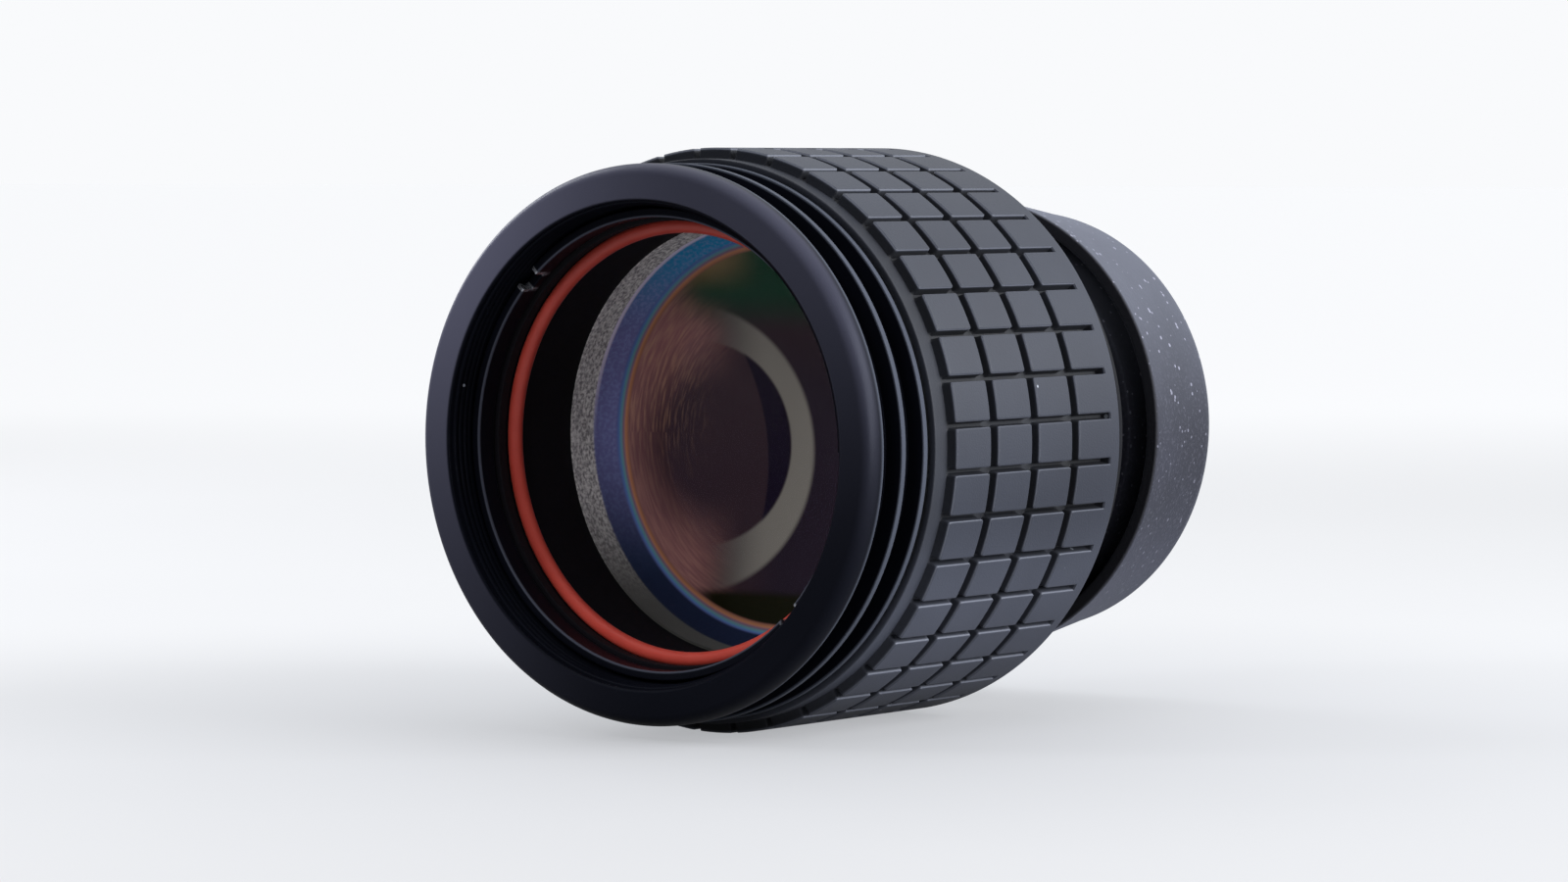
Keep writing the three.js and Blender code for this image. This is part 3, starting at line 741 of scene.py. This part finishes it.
# %% Turn the cell and the seal
CELL_WALL = 1.25
CORD_ROOM = 0.1
CORD_SIDES = 28
cell_bore = cell_radius - CELL_WALL
cord_radius = (cord_end - cord_start) / 2
cord_depth = (cord_start + cord_end) / 2
groove_half = cord_radius + CORD_ROOM
groove_radius = cord_outer + CORD_ROOM

cell_outline = [(cell_bore, cell_start), (cell_radius, cell_start), (cell_radius, cell_end),
                (cell_bore, cell_end), (cell_bore, cord_depth + groove_half),
                (groove_radius, cord_depth + groove_half),
                (groove_radius, cord_depth - groove_half), (cell_bore, cord_depth - groove_half)]
cell = turned("lens_cell", rounded(cell_outline), black_paint)
fitted(cell, "barrel", "black_paint", "field_cell")


def cord(name, outer, depth, radius, material):
    """A ring of round cord with its outside at the given radius."""
    outline = [(outer - radius + radius * math.cos(angle), depth + radius * math.sin(angle))
               for angle in even_angles(CORD_SIDES)]
    return turned(name, outline, material)


seal = cord("red_seal", cord_outer, cord_depth, cord_radius, red_silicone)
fitted(seal, "barrel", "red_silicone", "red_o_ring")
drag = cord("drag_seal", drag_radius, (drag_start + drag_end) / 2, (drag_end - drag_start) / 2,
            eyecup_rubber)
fitted(drag, "barrel", "eyecup_rubber", "drag_o_ring")

# %% [markdown]
# ## The front lens
#
# What the eye sees in a thick lens is not the polished front but what lies behind it: the ground
# edge, frosted and grey, the bevel behind that, tinted blue by the coatings, a thin fringe where
# light splits into colours, and the deep glass, brown at one side and green at the other, with a
# pale crescent of reflected light. The lens is two pieces. The inner one is a glass-smooth bowl
# with all of that painted on in fixed places: painted reflections, painted shade, painted
# highlights and a faint glow, though it is no lamp. The outer one is the polished skin, nearly
# clear, that only reflects.

# %% Paint the depth of the lens
LENS_EDGE = 17.4
BEVEL_START = 21.0
BEVEL_RADIUS = 20.2
BEVEL_END = 23.3
BOWL_DEPTH = 1.9


# circles that bound the painted reflections and painted shadow seen in the glass: middle,
# radius and softness of the edge
HEART = (-9.0, -1.0), 9.0, 4.0
OUTER_RING = (-11.6, -1.6), 14.8, 0.35
INNER_RING = (-10.1, -1.0), 10.4, 0.25
SHADOW = (-27.4, -3.2), 24.9, 0.2

# the painted colour fringe of split light where the bevel meets the deep glass, from the glass
# outwards
FRINGE_START = BEVEL_RADIUS - 1.1
FRINGE_WIDTH = 1.3
FRINGE = [(0.0, tone(122, 84, 76)), (0.3, tone(176, 118, 86)), (0.5, tone(120, 96, 118)),
          (0.7, tone(92, 138, 146)), (0.85, tone(84, 112, 166)), (1.0, tone(84, 88, 140))]


def inside(circle, across, up):
    """1 inside a circle in the plane across the axis, 0 outside, with a soft edge."""
    (x, z), radius, soft = circle
    return (across - x).distance(up - z).rise(radius + soft, radius - soft)


def painted_lens_depths():
    finish = Finish("coated_glass_inside")
    across, up, behind = finish.axial()
    radius = across.distance(up)
    turn = up.maths("ARCTAN2", up, across)
    streak = finish.grain(3.4, 6, where=finish.point(radius, turn * 1.5))
    frost = finish.grain(2600, 3)

    # deep glass, all painted reflection and shade: brown at the rim, dark at the heart, green at
    # the upper right, with a pale painted crescent of reflected light and painted shadows beside
    # it
    outer_ring = inside(OUTER_RING, across, up)
    inner_ring = inside(INNER_RING, across, up)
    painted_brown_reflection = finish.mix(streak.rise(0.3, 0.7), tone(134, 92, 94), tone(160, 114, 108))
    left_rim = across.rise(-5, -12) * (1 - inside(HEART, across, up))
    warm = streak.rise(0.45, 0.7) * across.rise(-8, -16) * up.rise(-8, 8)
    deep = finish.layered(
        tone(56, 40, 48),
        (left_rim, painted_brown_reflection),
        (warm * 0.5, tone(168, 128, 104)),
        (up.rise(10, 15) * across.rise(-16, -9), tone(24, 62, 44)),
        (up.rise(14, 19) * across.rise(-2, -10), tone(150, 118, 84)),
        # painted shade beyond the crescent
        ((1 - outer_ring) * across.rise(-6, 0) * up.rise(13, 3), tone(40, 30, 42)),
        # the pale crescent: a painted reflection
        (outer_ring * (1 - inner_ring) * across.rise(-10, -2), tone(134, 129, 122)),
        # painted shadow inside the inner ring
        (inner_ring * (1 - inside(SHADOW, across, up)), tone(24, 14, 34)),
        (up.rise(-15.5, -16.6) * across.rise(-12, -8), tone(24, 24, 12)))
    fringe = finish.add("ShaderNodeValToRGB", {"stops": FRINGE},
                        {0: (radius - FRINGE_START) / FRINGE_WIDTH})

    # the bevel: blue and frosted, more teal towards the top and the bottom, with painted shade
    # towards the bottom
    height = up * up / 400
    blue = finish.layered(
        finish.mix(height.rise(0.2, 0.9), tone(102, 102, 150), tone(40, 126, 172)),
        (frost.rise(0.4, 0.7) * 0.5, tone(124, 134, 184)),
        (up.rise(2, -16), tone(28, 36, 60)))

    # the ground edge: grey green, coarse, with painted shade towards the bottom and one thin pale
    # painted highlight on its upper side where it meets the bevel
    ground = finish.layered(
        finish.mix(frost.rise(0.3, 0.7), tone(118, 114, 118), tone(206, 202, 202)),
        (up.rise(-4, -18), tone(82, 82, 80)))
    line = behind.rise(BEVEL_START - 0.2, BEVEL_START)
    line = line * behind.rise(BEVEL_START + 0.35, BEVEL_START + 0.1)

    whole = finish.layered(
        deep,
        (radius.rise(BEVEL_RADIUS - 1.2, BEVEL_RADIUS - 0.9), fringe),
        (radius.rise(BEVEL_RADIUS + 0.02, BEVEL_RADIUS + 0.25), blue),
        (behind.rise(BEVEL_START + 0.15, BEVEL_START - 0.15), ground),
        (line * up.rise(-2, 10), tone(200, 190, 215)))
    glass = radius.rise(BEVEL_RADIUS - 0.4, BEVEL_RADIUS - 0.8)
    # the painted colours also glow a little, though the lens is no lamp
    return finish.surface(Base_Color=whole, Roughness=0.55 - glass * 0.45,
                          Emission_Color=whole, Emission_Strength=0.14,
                          Specular_IOR_Level=0.12,
                          Normal=finish.bump(frost * (1 - glass), 0.00008, 0.6))


painted_depth_glass = painted_lens_depths()
print("depths painted:", painted_depth_glass.name)

# %% Turn the lens
RIM_STEP = 0.2
front_bulge = LENS_EDGE - crown_apex
bowl_bottom = BEVEL_END + BOWL_DEPTH
bowl_outline = [(crown_radius, LENS_EDGE), (crown_radius, BEVEL_START), (BEVEL_RADIUS, BEVEL_END)]
bowl_outline += dome(BEVEL_RADIUS - RIM_STEP, -BOWL_DEPTH, BEVEL_END + 0.1, 40)
bowl_outline += [(0, bowl_bottom + 0.9), (crown_radius - 0.4, bowl_bottom + 0.4),
                 (crown_radius + RIM_STEP, BEVEL_START), (crown_radius + RIM_STEP, LENS_EDGE)]
bowl = turned("front_lens_depth", bowl_outline, painted_depth_glass, closed=False)
fitted(bowl, "barrel", "coated_glass", "field_flint_lens")


def clear_skin():
    finish = Finish("coated_glass_skin")
    across, up, behind = finish.axial()
    bloom = finish.grain(45)
    tint = finish.mix(bloom, (0.50, 0.42, 0.85), (0.40, 0.60, 0.75))
    gloss = finish.add("ShaderNodeBsdfPrincipled", None, {
        "Base Color": tint, "Metallic": 1.0, "Roughness": 0.03 + bloom * 0.02})
    clear = finish.add("ShaderNodeBsdfTransparent")
    share = finish.add("ShaderNodeFresnel", None, {"IOR": 1.18}) * 0.35
    return finish.ended(finish.add("ShaderNodeMixShader", None, {0: share, 1: clear, 2: gloss}))


SKIN_WALL = 0.1
skin_glass = clear_skin()
skin_front = dome(crown_radius, front_bulge, LENS_EDGE, 30)[::-1]
skin_back = dome(crown_radius, front_bulge - 2 * SKIN_WALL, LENS_EDGE + SKIN_WALL, 30)
skin = turned("front_lens_skin", skin_front + skin_back, skin_glass, closed=False)
fitted(skin, "barrel", "coated_glass", "field_crown_lens")

# %% [markdown]
# ## The rubber grip
#
# The grip is a sleeve with forty pads round it in four columns, cut by straight grooves. Nothing
# changes from one nine-degree step to the next, so only one narrow strip is modelled: a loop of
# points down the outside, round the rear edge and back along the bore, raised wherever a pad
# stands. Geometry Nodes then repeat the strip round the axis and weld the copies.

# %% Model one strip of the grip
PADS_AROUND = 40
PAD_COLUMNS = 4
PAD_PITCH = 7.28
PAD_LENGTH = 5.75
PAD_GROOVE = 0.75
PAD_RISE = 1.1
PAD_BEVEL = 0.22
PAD_CORNER = 0.15
SLEEVE_WALL = 1.05
REAR_ROUND = 0.25
REAR_ROUND_STEPS = 4
sleeve_radius = pad_radius - PAD_RISE
sleeve_bore = sleeve_radius - SLEEVE_WALL
pad_end = pad_start + (PAD_COLUMNS - 1) * PAD_PITCH + PAD_LENGTH
strip_half = math.pi / PADS_AROUND
strip_side = sleeve_radius * math.tan(strip_half)
pad_half = strip_side - PAD_GROOVE / 2

# where the rows and columns of points lie, measured inwards from the edge of a pad
EDGE_ROWS = (-0.28, -0.22, -0.15, -0.08, -0.02, 0.04, 0.12, 0.3)
FLAT_ROW = 1.2
BAND_ROWS = (-1.0, -0.27, -0.22, -0.15, -0.08, 0.0, 0.1)
MIDDLE_COLUMN = 0.8


def soft_step(value):
    value = min(max(value, 0), 1)
    return value * value * (3 - 2 * value)


def pad_height(beside, along):
    """0 in a groove and 1 on a pad, at a place given from the middle of the pad's strip."""
    middles = [pad_start + i * PAD_PITCH + PAD_LENGTH / 2 for i in range(PAD_COLUMNS)]
    middle = min(middles, key=lambda place: abs(along - place))
    past_side = abs(beside) - (pad_half - PAD_CORNER)
    past_end = abs(along - middle) - (PAD_LENGTH / 2 - PAD_CORNER)
    if middle == middles[-1] and along > middle:
        past_end = -1.0
    corner = math.hypot(max(past_side, 0), max(past_end, 0)) - PAD_CORNER
    edge = max(corner, max(past_side, past_end) - PAD_CORNER)
    return soft_step(1 - edge / PAD_BEVEL)


def band_height(along):
    """The rear band stands as high as the pads, and rises behind the last column."""
    return soft_step((along - (pad_end - PAD_BEVEL)) / PAD_BEVEL)


def strip_rows():
    """Depths of the rows down the outside, closer together where a pad begins and ends."""
    inwards = EDGE_ROWS + (FLAT_ROW,)
    rows = [sleeve_start + 0.12, sleeve_start + 0.2, sleeve_start + 1.0]
    for column in range(PAD_COLUMNS):
        begin = pad_start + column * PAD_PITCH
        end = begin + PAD_LENGTH
        rows += [begin + inside_edge for inside_edge in inwards] + [(begin + end) / 2]
        if column < PAD_COLUMNS - 1:
            rows += [end - inside_edge for inside_edge in reversed(inwards)]
    rows += [pad_end + offset for offset in BAND_ROWS]
    return rows + [sleeve_end - 0.4, sleeve_end - 0.3]


def strip_column(beside):
    """One loop of (radius, depth): down the outside, round the rear and back along the bore."""
    loop = [(sleeve_radius + PAD_RISE * max(pad_height(beside, along), band_height(along)), along)
            for along in strip_rows()]
    for step in range(REAR_ROUND_STEPS + 1):
        turn = step / REAR_ROUND_STEPS * math.pi / 2
        loop.append((pad_radius - REAR_ROUND + REAR_ROUND * math.cos(turn),
                     sleeve_end - REAR_ROUND + REAR_ROUND * math.sin(turn)))
    return loop + [(sleeve_bore + 0.1, sleeve_end), (sleeve_bore, sleeve_end - 0.1),
                   (sleeve_bore, sleeve_start + 0.1), (sleeve_bore + 0.1, sleeve_start),
                   (sleeve_radius - 0.15, sleeve_start),
                   (sleeve_radius - 0.03, sleeve_start + 0.05)]


def strip_mesh():
    half = [strip_side, MIDDLE_COLUMN, 0.0] + [pad_half - inside_edge for inside_edge in EDGE_ROWS]
    mesh = bmesh.new()
    columns = []
    for beside in sorted(set(half + [-value for value in half])):
        angle = math.atan2(beside, sleeve_radius)
        columns.append([mesh.verts.new((radius * MM * math.cos(angle), FRONT_Y + depth * MM,
                                        radius * MM * math.sin(angle)))
                        for radius, depth in strip_column(beside)])
    for left, right in zip(columns, columns[1:]):
        for i in range(len(left)):
            j = (i + 1) % len(left)
            mesh.faces.new((left[i], left[j], right[j], right[i]))
    data = bpy.data.meshes.new("grip_strip")
    mesh.to_mesh(data)
    mesh.free()
    print("one strip has", len(data.polygons), "faces")
    return data


# %% Repeat the strip round the axis
def ring_tree():
    graph, given = new_tree("strip_ring", Copies=("Int", 40), Axis=("Float", 0.03),
                            Weld=("Float", 0.000002), Material=("Material", None))
    points = graph.add("GeometryNodePoints", None, {"Count": given["Copies"]})
    index = graph.add("GeometryNodeInputIndex")
    step = index.maths("DIVIDE", 2 * math.pi, given["Copies"])
    about = graph.add("ShaderNodeCombineXYZ", None, {"Y": index * step})
    copies = graph.add("GeometryNodeInstanceOnPoints", None, {
        "Points": points, "Instance": given["Geometry"], "Rotation": about})
    real = graph.add("GeometryNodeRealizeInstances", None, {"Geometry": copies})
    welded = graph.add("GeometryNodeMergeByDistance", None,
                       {"Geometry": real, "Distance": given["Weld"]})
    place = graph.add("ShaderNodeCombineXYZ", None, {"Z": given["Axis"]})
    lifted = graph.add("GeometryNodeTransform", None, {"Geometry": welded, "Translation": place})
    return end_tree(graph, lifted, given["Material"])


grip = grown("rubber_sleeve", ring_tree(), strip_mesh(), Copies=PADS_AROUND, Axis=AXIS_Z,
             Material=grip_rubber)
grip_mesh = bmesh.new()
grip_mesh.from_mesh(grip.data)
bmesh.ops.recalc_face_normals(grip_mesh, faces=grip_mesh.faces)
open_edges = sum(1 for edge in grip_mesh.edges if edge.is_boundary)
grip_mesh.to_mesh(grip.data)
grip_mesh.free()
grip.data.set_sharp_from_angle(angle=math.radians(60))
fitted(grip, "grip", "grip_rubber", "rubber_grip")
print("open edges on the grip:", open_edges)

# %% [markdown]
# ## The eyecup carrier
#
# Behind the grip a rounded aluminium shoulder narrows to a neck. It belongs to a sleeve that
# slides inside the barrel, pushed by three pins in the grip's helical grooves, so it rides on
# its own body and moves back when the grip turns.

# %% Turn the carrier and its clamp ring
CARRIER_TUBE_WALL = 1.4
TUBE_FRONT_LENGTH = 14.0
TUBE_NECK_RADIUS = 17.0
SHOULDER_FLAT = 2.2
SHOULDER_ROUND = 6.0
NECK_LENGTH = 7.1
SEAT_WALL = 1.2
NECK_RISE = 1.1
BORE_STEP = 2.0
carrier_radius = thread_minor - FIT
carrier_bore = carrier_radius - CARRIER_TUBE_WALL
tube_step = tube_start + TUBE_FRONT_LENGTH
bore_step = tube_step + BORE_STEP
shoulder_start = sleeve_end + FIT
shoulder_end = shoulder_start + SHOULDER_FLAT
neck_start = shoulder_end + SHOULDER_ROUND
seat_start = neck_start + NECK_LENGTH
neck_bore = TUBE_NECK_RADIUS + FIT
seat_radius = neck_bore + SEAT_WALL
neck_radius = seat_radius + NECK_RISE

carrier_outline = [(carrier_bore, carrier_start), (carrier_radius, carrier_start),
                   (carrier_radius, shoulder_start), (shoulder_radius, shoulder_start),
                   (shoulder_radius, shoulder_end)]
carrier_outline += arc((shoulder_radius, shoulder_end), (neck_radius, neck_start), 16, True)
carrier_outline += [(neck_radius, neck_start), (neck_radius, seat_start),
                    (seat_radius, seat_start), (seat_radius, seat_end), (neck_bore, seat_end),
                    (neck_bore, bore_step), (carrier_bore, bore_step)]
carrier = turned("eyecup_sleeve", rounded(carrier_outline, 0.2), neck_anodised_painted_shade)
fitted(carrier, "eyecup", "black_anodised", "eyecup_carrier")
clamp_outline = [(neck_bore, clamp_start), (clamp_radius, clamp_start),
                 (clamp_radius, clamp_end), (neck_bore, clamp_end)]
clamp = turned("eyecup_clamp", rounded(clamp_outline, 0.2), black_anodised)
fitted(clamp, "eyecup", "black_anodised", "eyecup_clamp_ring")

# %% [markdown]
# ## The folded eyecup
#
# The eyecup is one piece of soft rubber: a collar gripped on the neck, a rolled edge that the
# brow rests on, and a skirt folded forward over the collar. The skirt flares towards its free
# edge, as a cone does when it is turned inside out.

# %% Turn the eyecup
SKIRT_WALL = 1.3
SKIRT_FLARE = 1.7
COLLAR_WALL = 1.5
FOLD_DEPTH = 0.45
ROLL_DEPTH = 3.0
HOLLOW_INSET = 1.0
LIP_CUT_ACROSS = 0.12
LIP_CUT_ALONG = 0.3
collar_start = seat_start + FIT
collar_bore = seat_radius + FIT
collar_radius = collar_bore + COLLAR_WALL
roll_radius = lip_radius - SKIRT_FLARE
skirt_bore = roll_radius - SKIRT_WALL
roll_start = eyecup_end - ROLL_DEPTH
fold_end = roll_start - SKIRT_WALL
fold_start = fold_end - FOLD_DEPTH
fold_middle = (collar_radius + skirt_bore) / 2
eye_hollow_radius = clamp_radius - HOLLOW_INSET
pocket_radius = clamp_radius + FIT
pocket_end = clamp_end + FIT
roll_top = (eye_hollow_radius + roll_radius) / 2

eyecup_outline = [(collar_bore, collar_start), (collar_radius, collar_start),
                  (collar_radius, fold_start)]
eyecup_outline += arc((collar_radius, fold_start), (fold_middle, fold_end), 5, True)
eyecup_outline += [(fold_middle, fold_end)]
eyecup_outline += arc((fold_middle, fold_end), (skirt_bore, fold_start), 5, False)
eyecup_outline += [(skirt_bore, fold_start), (lip_radius - SKIRT_WALL, eyecup_start),
                   (lip_radius - LIP_CUT_ACROSS, eyecup_start),
                   (lip_radius, eyecup_start + LIP_CUT_ALONG), (roll_radius, roll_start)]
eyecup_outline += arc((roll_radius, roll_start), (roll_top, eyecup_end), 12, True)
eyecup_outline += [(roll_top, eyecup_end)]
eyecup_outline += arc((roll_top, eyecup_end), (eye_hollow_radius, roll_start), 12, False)
eyecup_outline += [(eye_hollow_radius, roll_start), (eye_hollow_radius, pocket_end),
                   (pocket_radius, pocket_end), (pocket_radius, seat_end),
                   (collar_bore, seat_end)]
eyecup = turned("folded_eyecup", rounded(eyecup_outline, 0.25), eyecup_rubber)
fitted(eyecup, "eyecup", "eyecup_rubber", "rubber_eyecup")

# %% [markdown]
# ## The eye end
#
# Looking in from behind there is a second, smaller lens, held in the eye tube by its own slotted
# ring. Its coating reflects green and violet over a depth that looks black, so it is made as one
# solid with a dark body and a clear, hard gloss.

# %% Turn the eye tube, its ring and the eye lens
TUBE_WALL = 1.3
EYE_RING_WALL = 1.7
EYE_BULGE = 2.3
EYE_FRONT_BULGE = 3.0
EYE_EDGE = 5.4
tube_bore = tube_radius - TUBE_WALL
tube_neck_bore = TUBE_NECK_RADIUS - TUBE_WALL
tube_inner_step = tube_step - TUBE_WALL
tube_outline = [(tube_bore, tube_start), (tube_radius, tube_start), (tube_radius, tube_step),
                (TUBE_NECK_RADIUS, tube_step), (TUBE_NECK_RADIUS, tube_end),
                (tube_neck_bore, tube_end), (tube_neck_bore, tube_inner_step),
                (tube_bore, tube_inner_step)]
tube = turned("eye_barrel", rounded(tube_outline, 0.15), black_paint)
fitted(tube, "barrel", "black_paint", "eye_tube")

eye_ring = slotted("eye_retainer", eye_ring_radius - EYE_RING_WALL, eye_ring_radius,
                   eye_ring_start, eye_ring_end, 90, slots_at_end=True)
fitted(eye_ring, "barrel", "black_anodised", "eye_retaining_ring")


def eye_glass():
    finish = Finish("coated_glass")
    across, up, _ = finish.axial()
    rim = across.distance(up).rise(eye_lens_radius - 5, eye_lens_radius)
    drift = finish.grain(50)
    base = finish.layered(
        finish.mix(rim, (0.004, 0.005, 0.007), (0.020, 0.028, 0.022)),
        (drift * 0.4, (0.016, 0.008, 0.030)))
    return finish.surface(Base_Color=base, Roughness=0.05 + drift * 0.03,
                          Specular_IOR_Level=0.6, Specular_Tint=(0.55, 1.0, 0.70),
                          Coat_Weight=0.6, Coat_Roughness=0.02, Coat_Tint=(0.9, 0.8, 1.0))


dark_glass = eye_glass()
eye_edge_end = eye_crown_end - EYE_BULGE
rear_face = dome(eye_lens_radius, -EYE_BULGE, eye_edge_end, 24)
front_face = dome(eye_lens_radius, EYE_FRONT_BULGE, eye_edge_end - EYE_EDGE, 16)[::-1]
eye_lens = turned("eye_lens", front_face + rear_face, dark_glass, closed=False)
fitted(eye_lens, "barrel", "coated_glass", "eye_crown_lens")

# %% [markdown]
# ## The parts inside
#
# The spacers, the pins, the washer and the inner lenses are hidden in the assembled eyepiece.
# Their CAD parts are right as they are, so they keep their meshes and get the same finishes.

# %% Finish the carried-over CAD parts
finishes = {"black_anodised": black_anodised, "black_paint": black_paint, "steel": steel,
            "nylon": nylon, "coated_glass": dark_glass, "eyecup_rubber": eyecup_rubber,
            "grip_rubber": grip_rubber, "red_silicone": red_silicone}
slot_of = {part["node"]: part["material_slot"] for part in frame["record"]["subparts"]}
for node_name, node in nodes.items():
    material = finishes[slot_of[node_name]]
    if not node.material_slots:
        node.data.materials.append(material)
    for slot in node.material_slots:
        slot.material = material
print(len(nodes), "CAD parts finished")

# %% [markdown]
# ## Floor, light and camera
#
# The eyepiece lies on a white table in a white studio. Black things are lit by what they
# reflect, so the room matters more than the lamps: bright walls above, behind and at the right
# draw the edges, and a darker side towards the viewer keeps the front of the flange deep. The
# table looks a little brighter with distance and has a soft painted shadow under the eyepiece.
# The camera itself sees an even, pale backdrop.

# %% Lay the floor
FLOOR_SIZE = 12.0
TABLE_GLOW = 0.50
NEAR_GLOW = (0.88, 0.885, 0.90)
MIDDLE_GLOW = (1.09, 1.10, 1.115)
FAR_GLOW = (1.45, 1.46, 1.475)
PAINTED_SHADOW_GLOW = (0.52, 0.55, 0.62)
UNSEEN_GLOW = (0.10, 0.10, 0.10)
PATCH_DEPTH = 30
AZIMUTH = 35.85
ELEVATION = 2.81
azimuth, elevation = math.radians(AZIMUTH), math.radians(ELEVATION)


def pale_table():
    finish = Finish("pale_table")
    soft = finish.grain(14, 3)
    seen = finish.add("ShaderNodeLightPath", output="Is Camera Ray")
    base = finish.mix(soft, (0.215, 0.215, 0.221), (0.230, 0.230, 0.236))
    across, _, behind = finish.axial()
    away = behind * math.cos(azimuth) - across * math.sin(azimuth)
    # a painted shadow: the table's glow is dimmed round the eyepiece
    under = across.distance(behind - PATCH_DEPTH).rise(150, 30)
    glow = finish.layered(
        finish.mix(away.rise(-150, 150), NEAR_GLOW, MIDDLE_GLOW),
        (away.rise(340, 800), FAR_GLOW),
        (under * 0.35, PAINTED_SHADOW_GLOW))
    glow = finish.mix(seen, UNSEEN_GLOW, glow)
    return finish.surface(Base_Color=base, Roughness=0.6 + soft * 0.1, Emission_Color=glow,
                          Emission_Strength=TABLE_GLOW, Specular_IOR_Level=0.1)


floor_mesh = bmesh.new()
bmesh.ops.create_grid(floor_mesh, x_segments=1, y_segments=1, size=FLOOR_SIZE)
floor = to_piece("table", floor_mesh, pale_table())

# %% Light the studio
world = bpy.data.worlds.new("studio")
bpy.context.scene.world = world
world.use_nodes = True
room = Graph(world.node_tree)


def glow_towards(direction, start, end, low, high):
    """Light that goes from low to high as the view turns towards a direction."""
    view = room.add("ShaderNodeTexCoord", output="Generated")
    facing = room.add("ShaderNodeVectorMath", {"operation": "DOT_PRODUCT"},
                      {0: view, 1: direction}, output="Value")
    return room.add("ShaderNodeMapRange", {"interpolation_type": "SMOOTHSTEP"},
                    {0: facing, 1: start, 2: end, 3: low, 4: high})


WALLS = 0.75
WALL_WHITE = (0.93, 0.96, 1.0)
BACKDROP = tone(249, 250, 252)
TOWARDS_VIEWER = (0.55, -0.83, 0.05)
TOWARDS_TOP = (0.35, 0.30, 0.89)
dark_side = glow_towards(TOWARDS_VIEWER, -0.1, 0.85, 1.0, 0.18)
bright_top = glow_towards(TOWARDS_TOP, -0.1, 0.9, 0.30, 1.9)
walls = room.add("ShaderNodeBackground", None,
                 {"Color": WALL_WHITE, "Strength": dark_side * bright_top * WALLS})
backdrop = room.add("ShaderNodeBackground", None, {"Color": BACKDROP, "Strength": 1.0})
seen = room.add("ShaderNodeLightPath", output="Is Camera Ray")
chosen = room.add("ShaderNodeMixShader", None, {0: seen, 1: walls, 2: backdrop})
room.end("ShaderNodeOutputWorld", "Surface", chosen)


def softbox(name, place, size, watts, reflected=True):
    """A soft lamp that looks at the eyepiece. It may light it without being reflected in it."""
    lamp = bpy.data.lights.new(name, "AREA")
    lamp.shape = "RECTANGLE"
    lamp.size, lamp.size_y = size
    lamp.energy = watts
    lamp.color = (0.96, 0.98, 1.0)
    holder = bpy.data.objects.new(name, lamp)
    holder.location = place
    aim = Vector((0, 0, AXIS_Z)) - Vector(place)
    holder.rotation_euler = aim.to_track_quat("-Z", "Y").to_euler()
    holder.visible_glossy = reflected
    bpy.context.scene.collection.objects.link(holder)


softbox("key_softbox", (0.44, 0.12, 0.24), (0.30, 0.26), 2.6)
softbox("rim_softbox", (-0.45, 0.10, 0.25), (0.25, 0.30), 1.0)
softbox("low_softbox", (0.42, 0.02, 0.07), (0.20, 0.09), 0.8)
softbox("mouth_fill", (0.10, -0.45, 0.30), (0.16, 0.12), 0.45, reflected=False)
softbox("face_fill", (-0.30, -0.34, 0.26), (0.12, 0.20), 0.7, reflected=False)
print("room and five softboxes")

# %% Place the camera
LENS_LENGTH = 128.9
SENSOR = 36.0
DISTANCE = 551.9
AIM_DEPTH = 1.9
AIM_RIGHT = 13.23
AIM_UP = 0.41

to_right = Vector((math.cos(azimuth), math.sin(azimuth), 0))
forward = Vector((-math.sin(azimuth) * math.cos(elevation),
                  math.cos(azimuth) * math.cos(elevation), -math.sin(elevation)))
upward = to_right.cross(forward)
target = Vector((0, FRONT_Y + AIM_DEPTH * MM, AXIS_Z))
lens = bpy.data.cameras.new("studio_camera")
lens.lens = LENS_LENGTH
lens.sensor_width = SENSOR
lens.clip_start = 0.01
camera = bpy.data.objects.new("studio_camera", lens)
camera.location = target + MM * (AIM_RIGHT * to_right + AIM_UP * upward - DISTANCE * forward)
camera.rotation_euler = Matrix((to_right, upward, -forward)).transposed().to_euler()
bpy.context.scene.collection.objects.link(camera)
bpy.context.scene.camera = camera
bpy.context.scene.view_settings.view_transform = "Standard"
print("camera at", [round(value, 4) for value in camera.location])
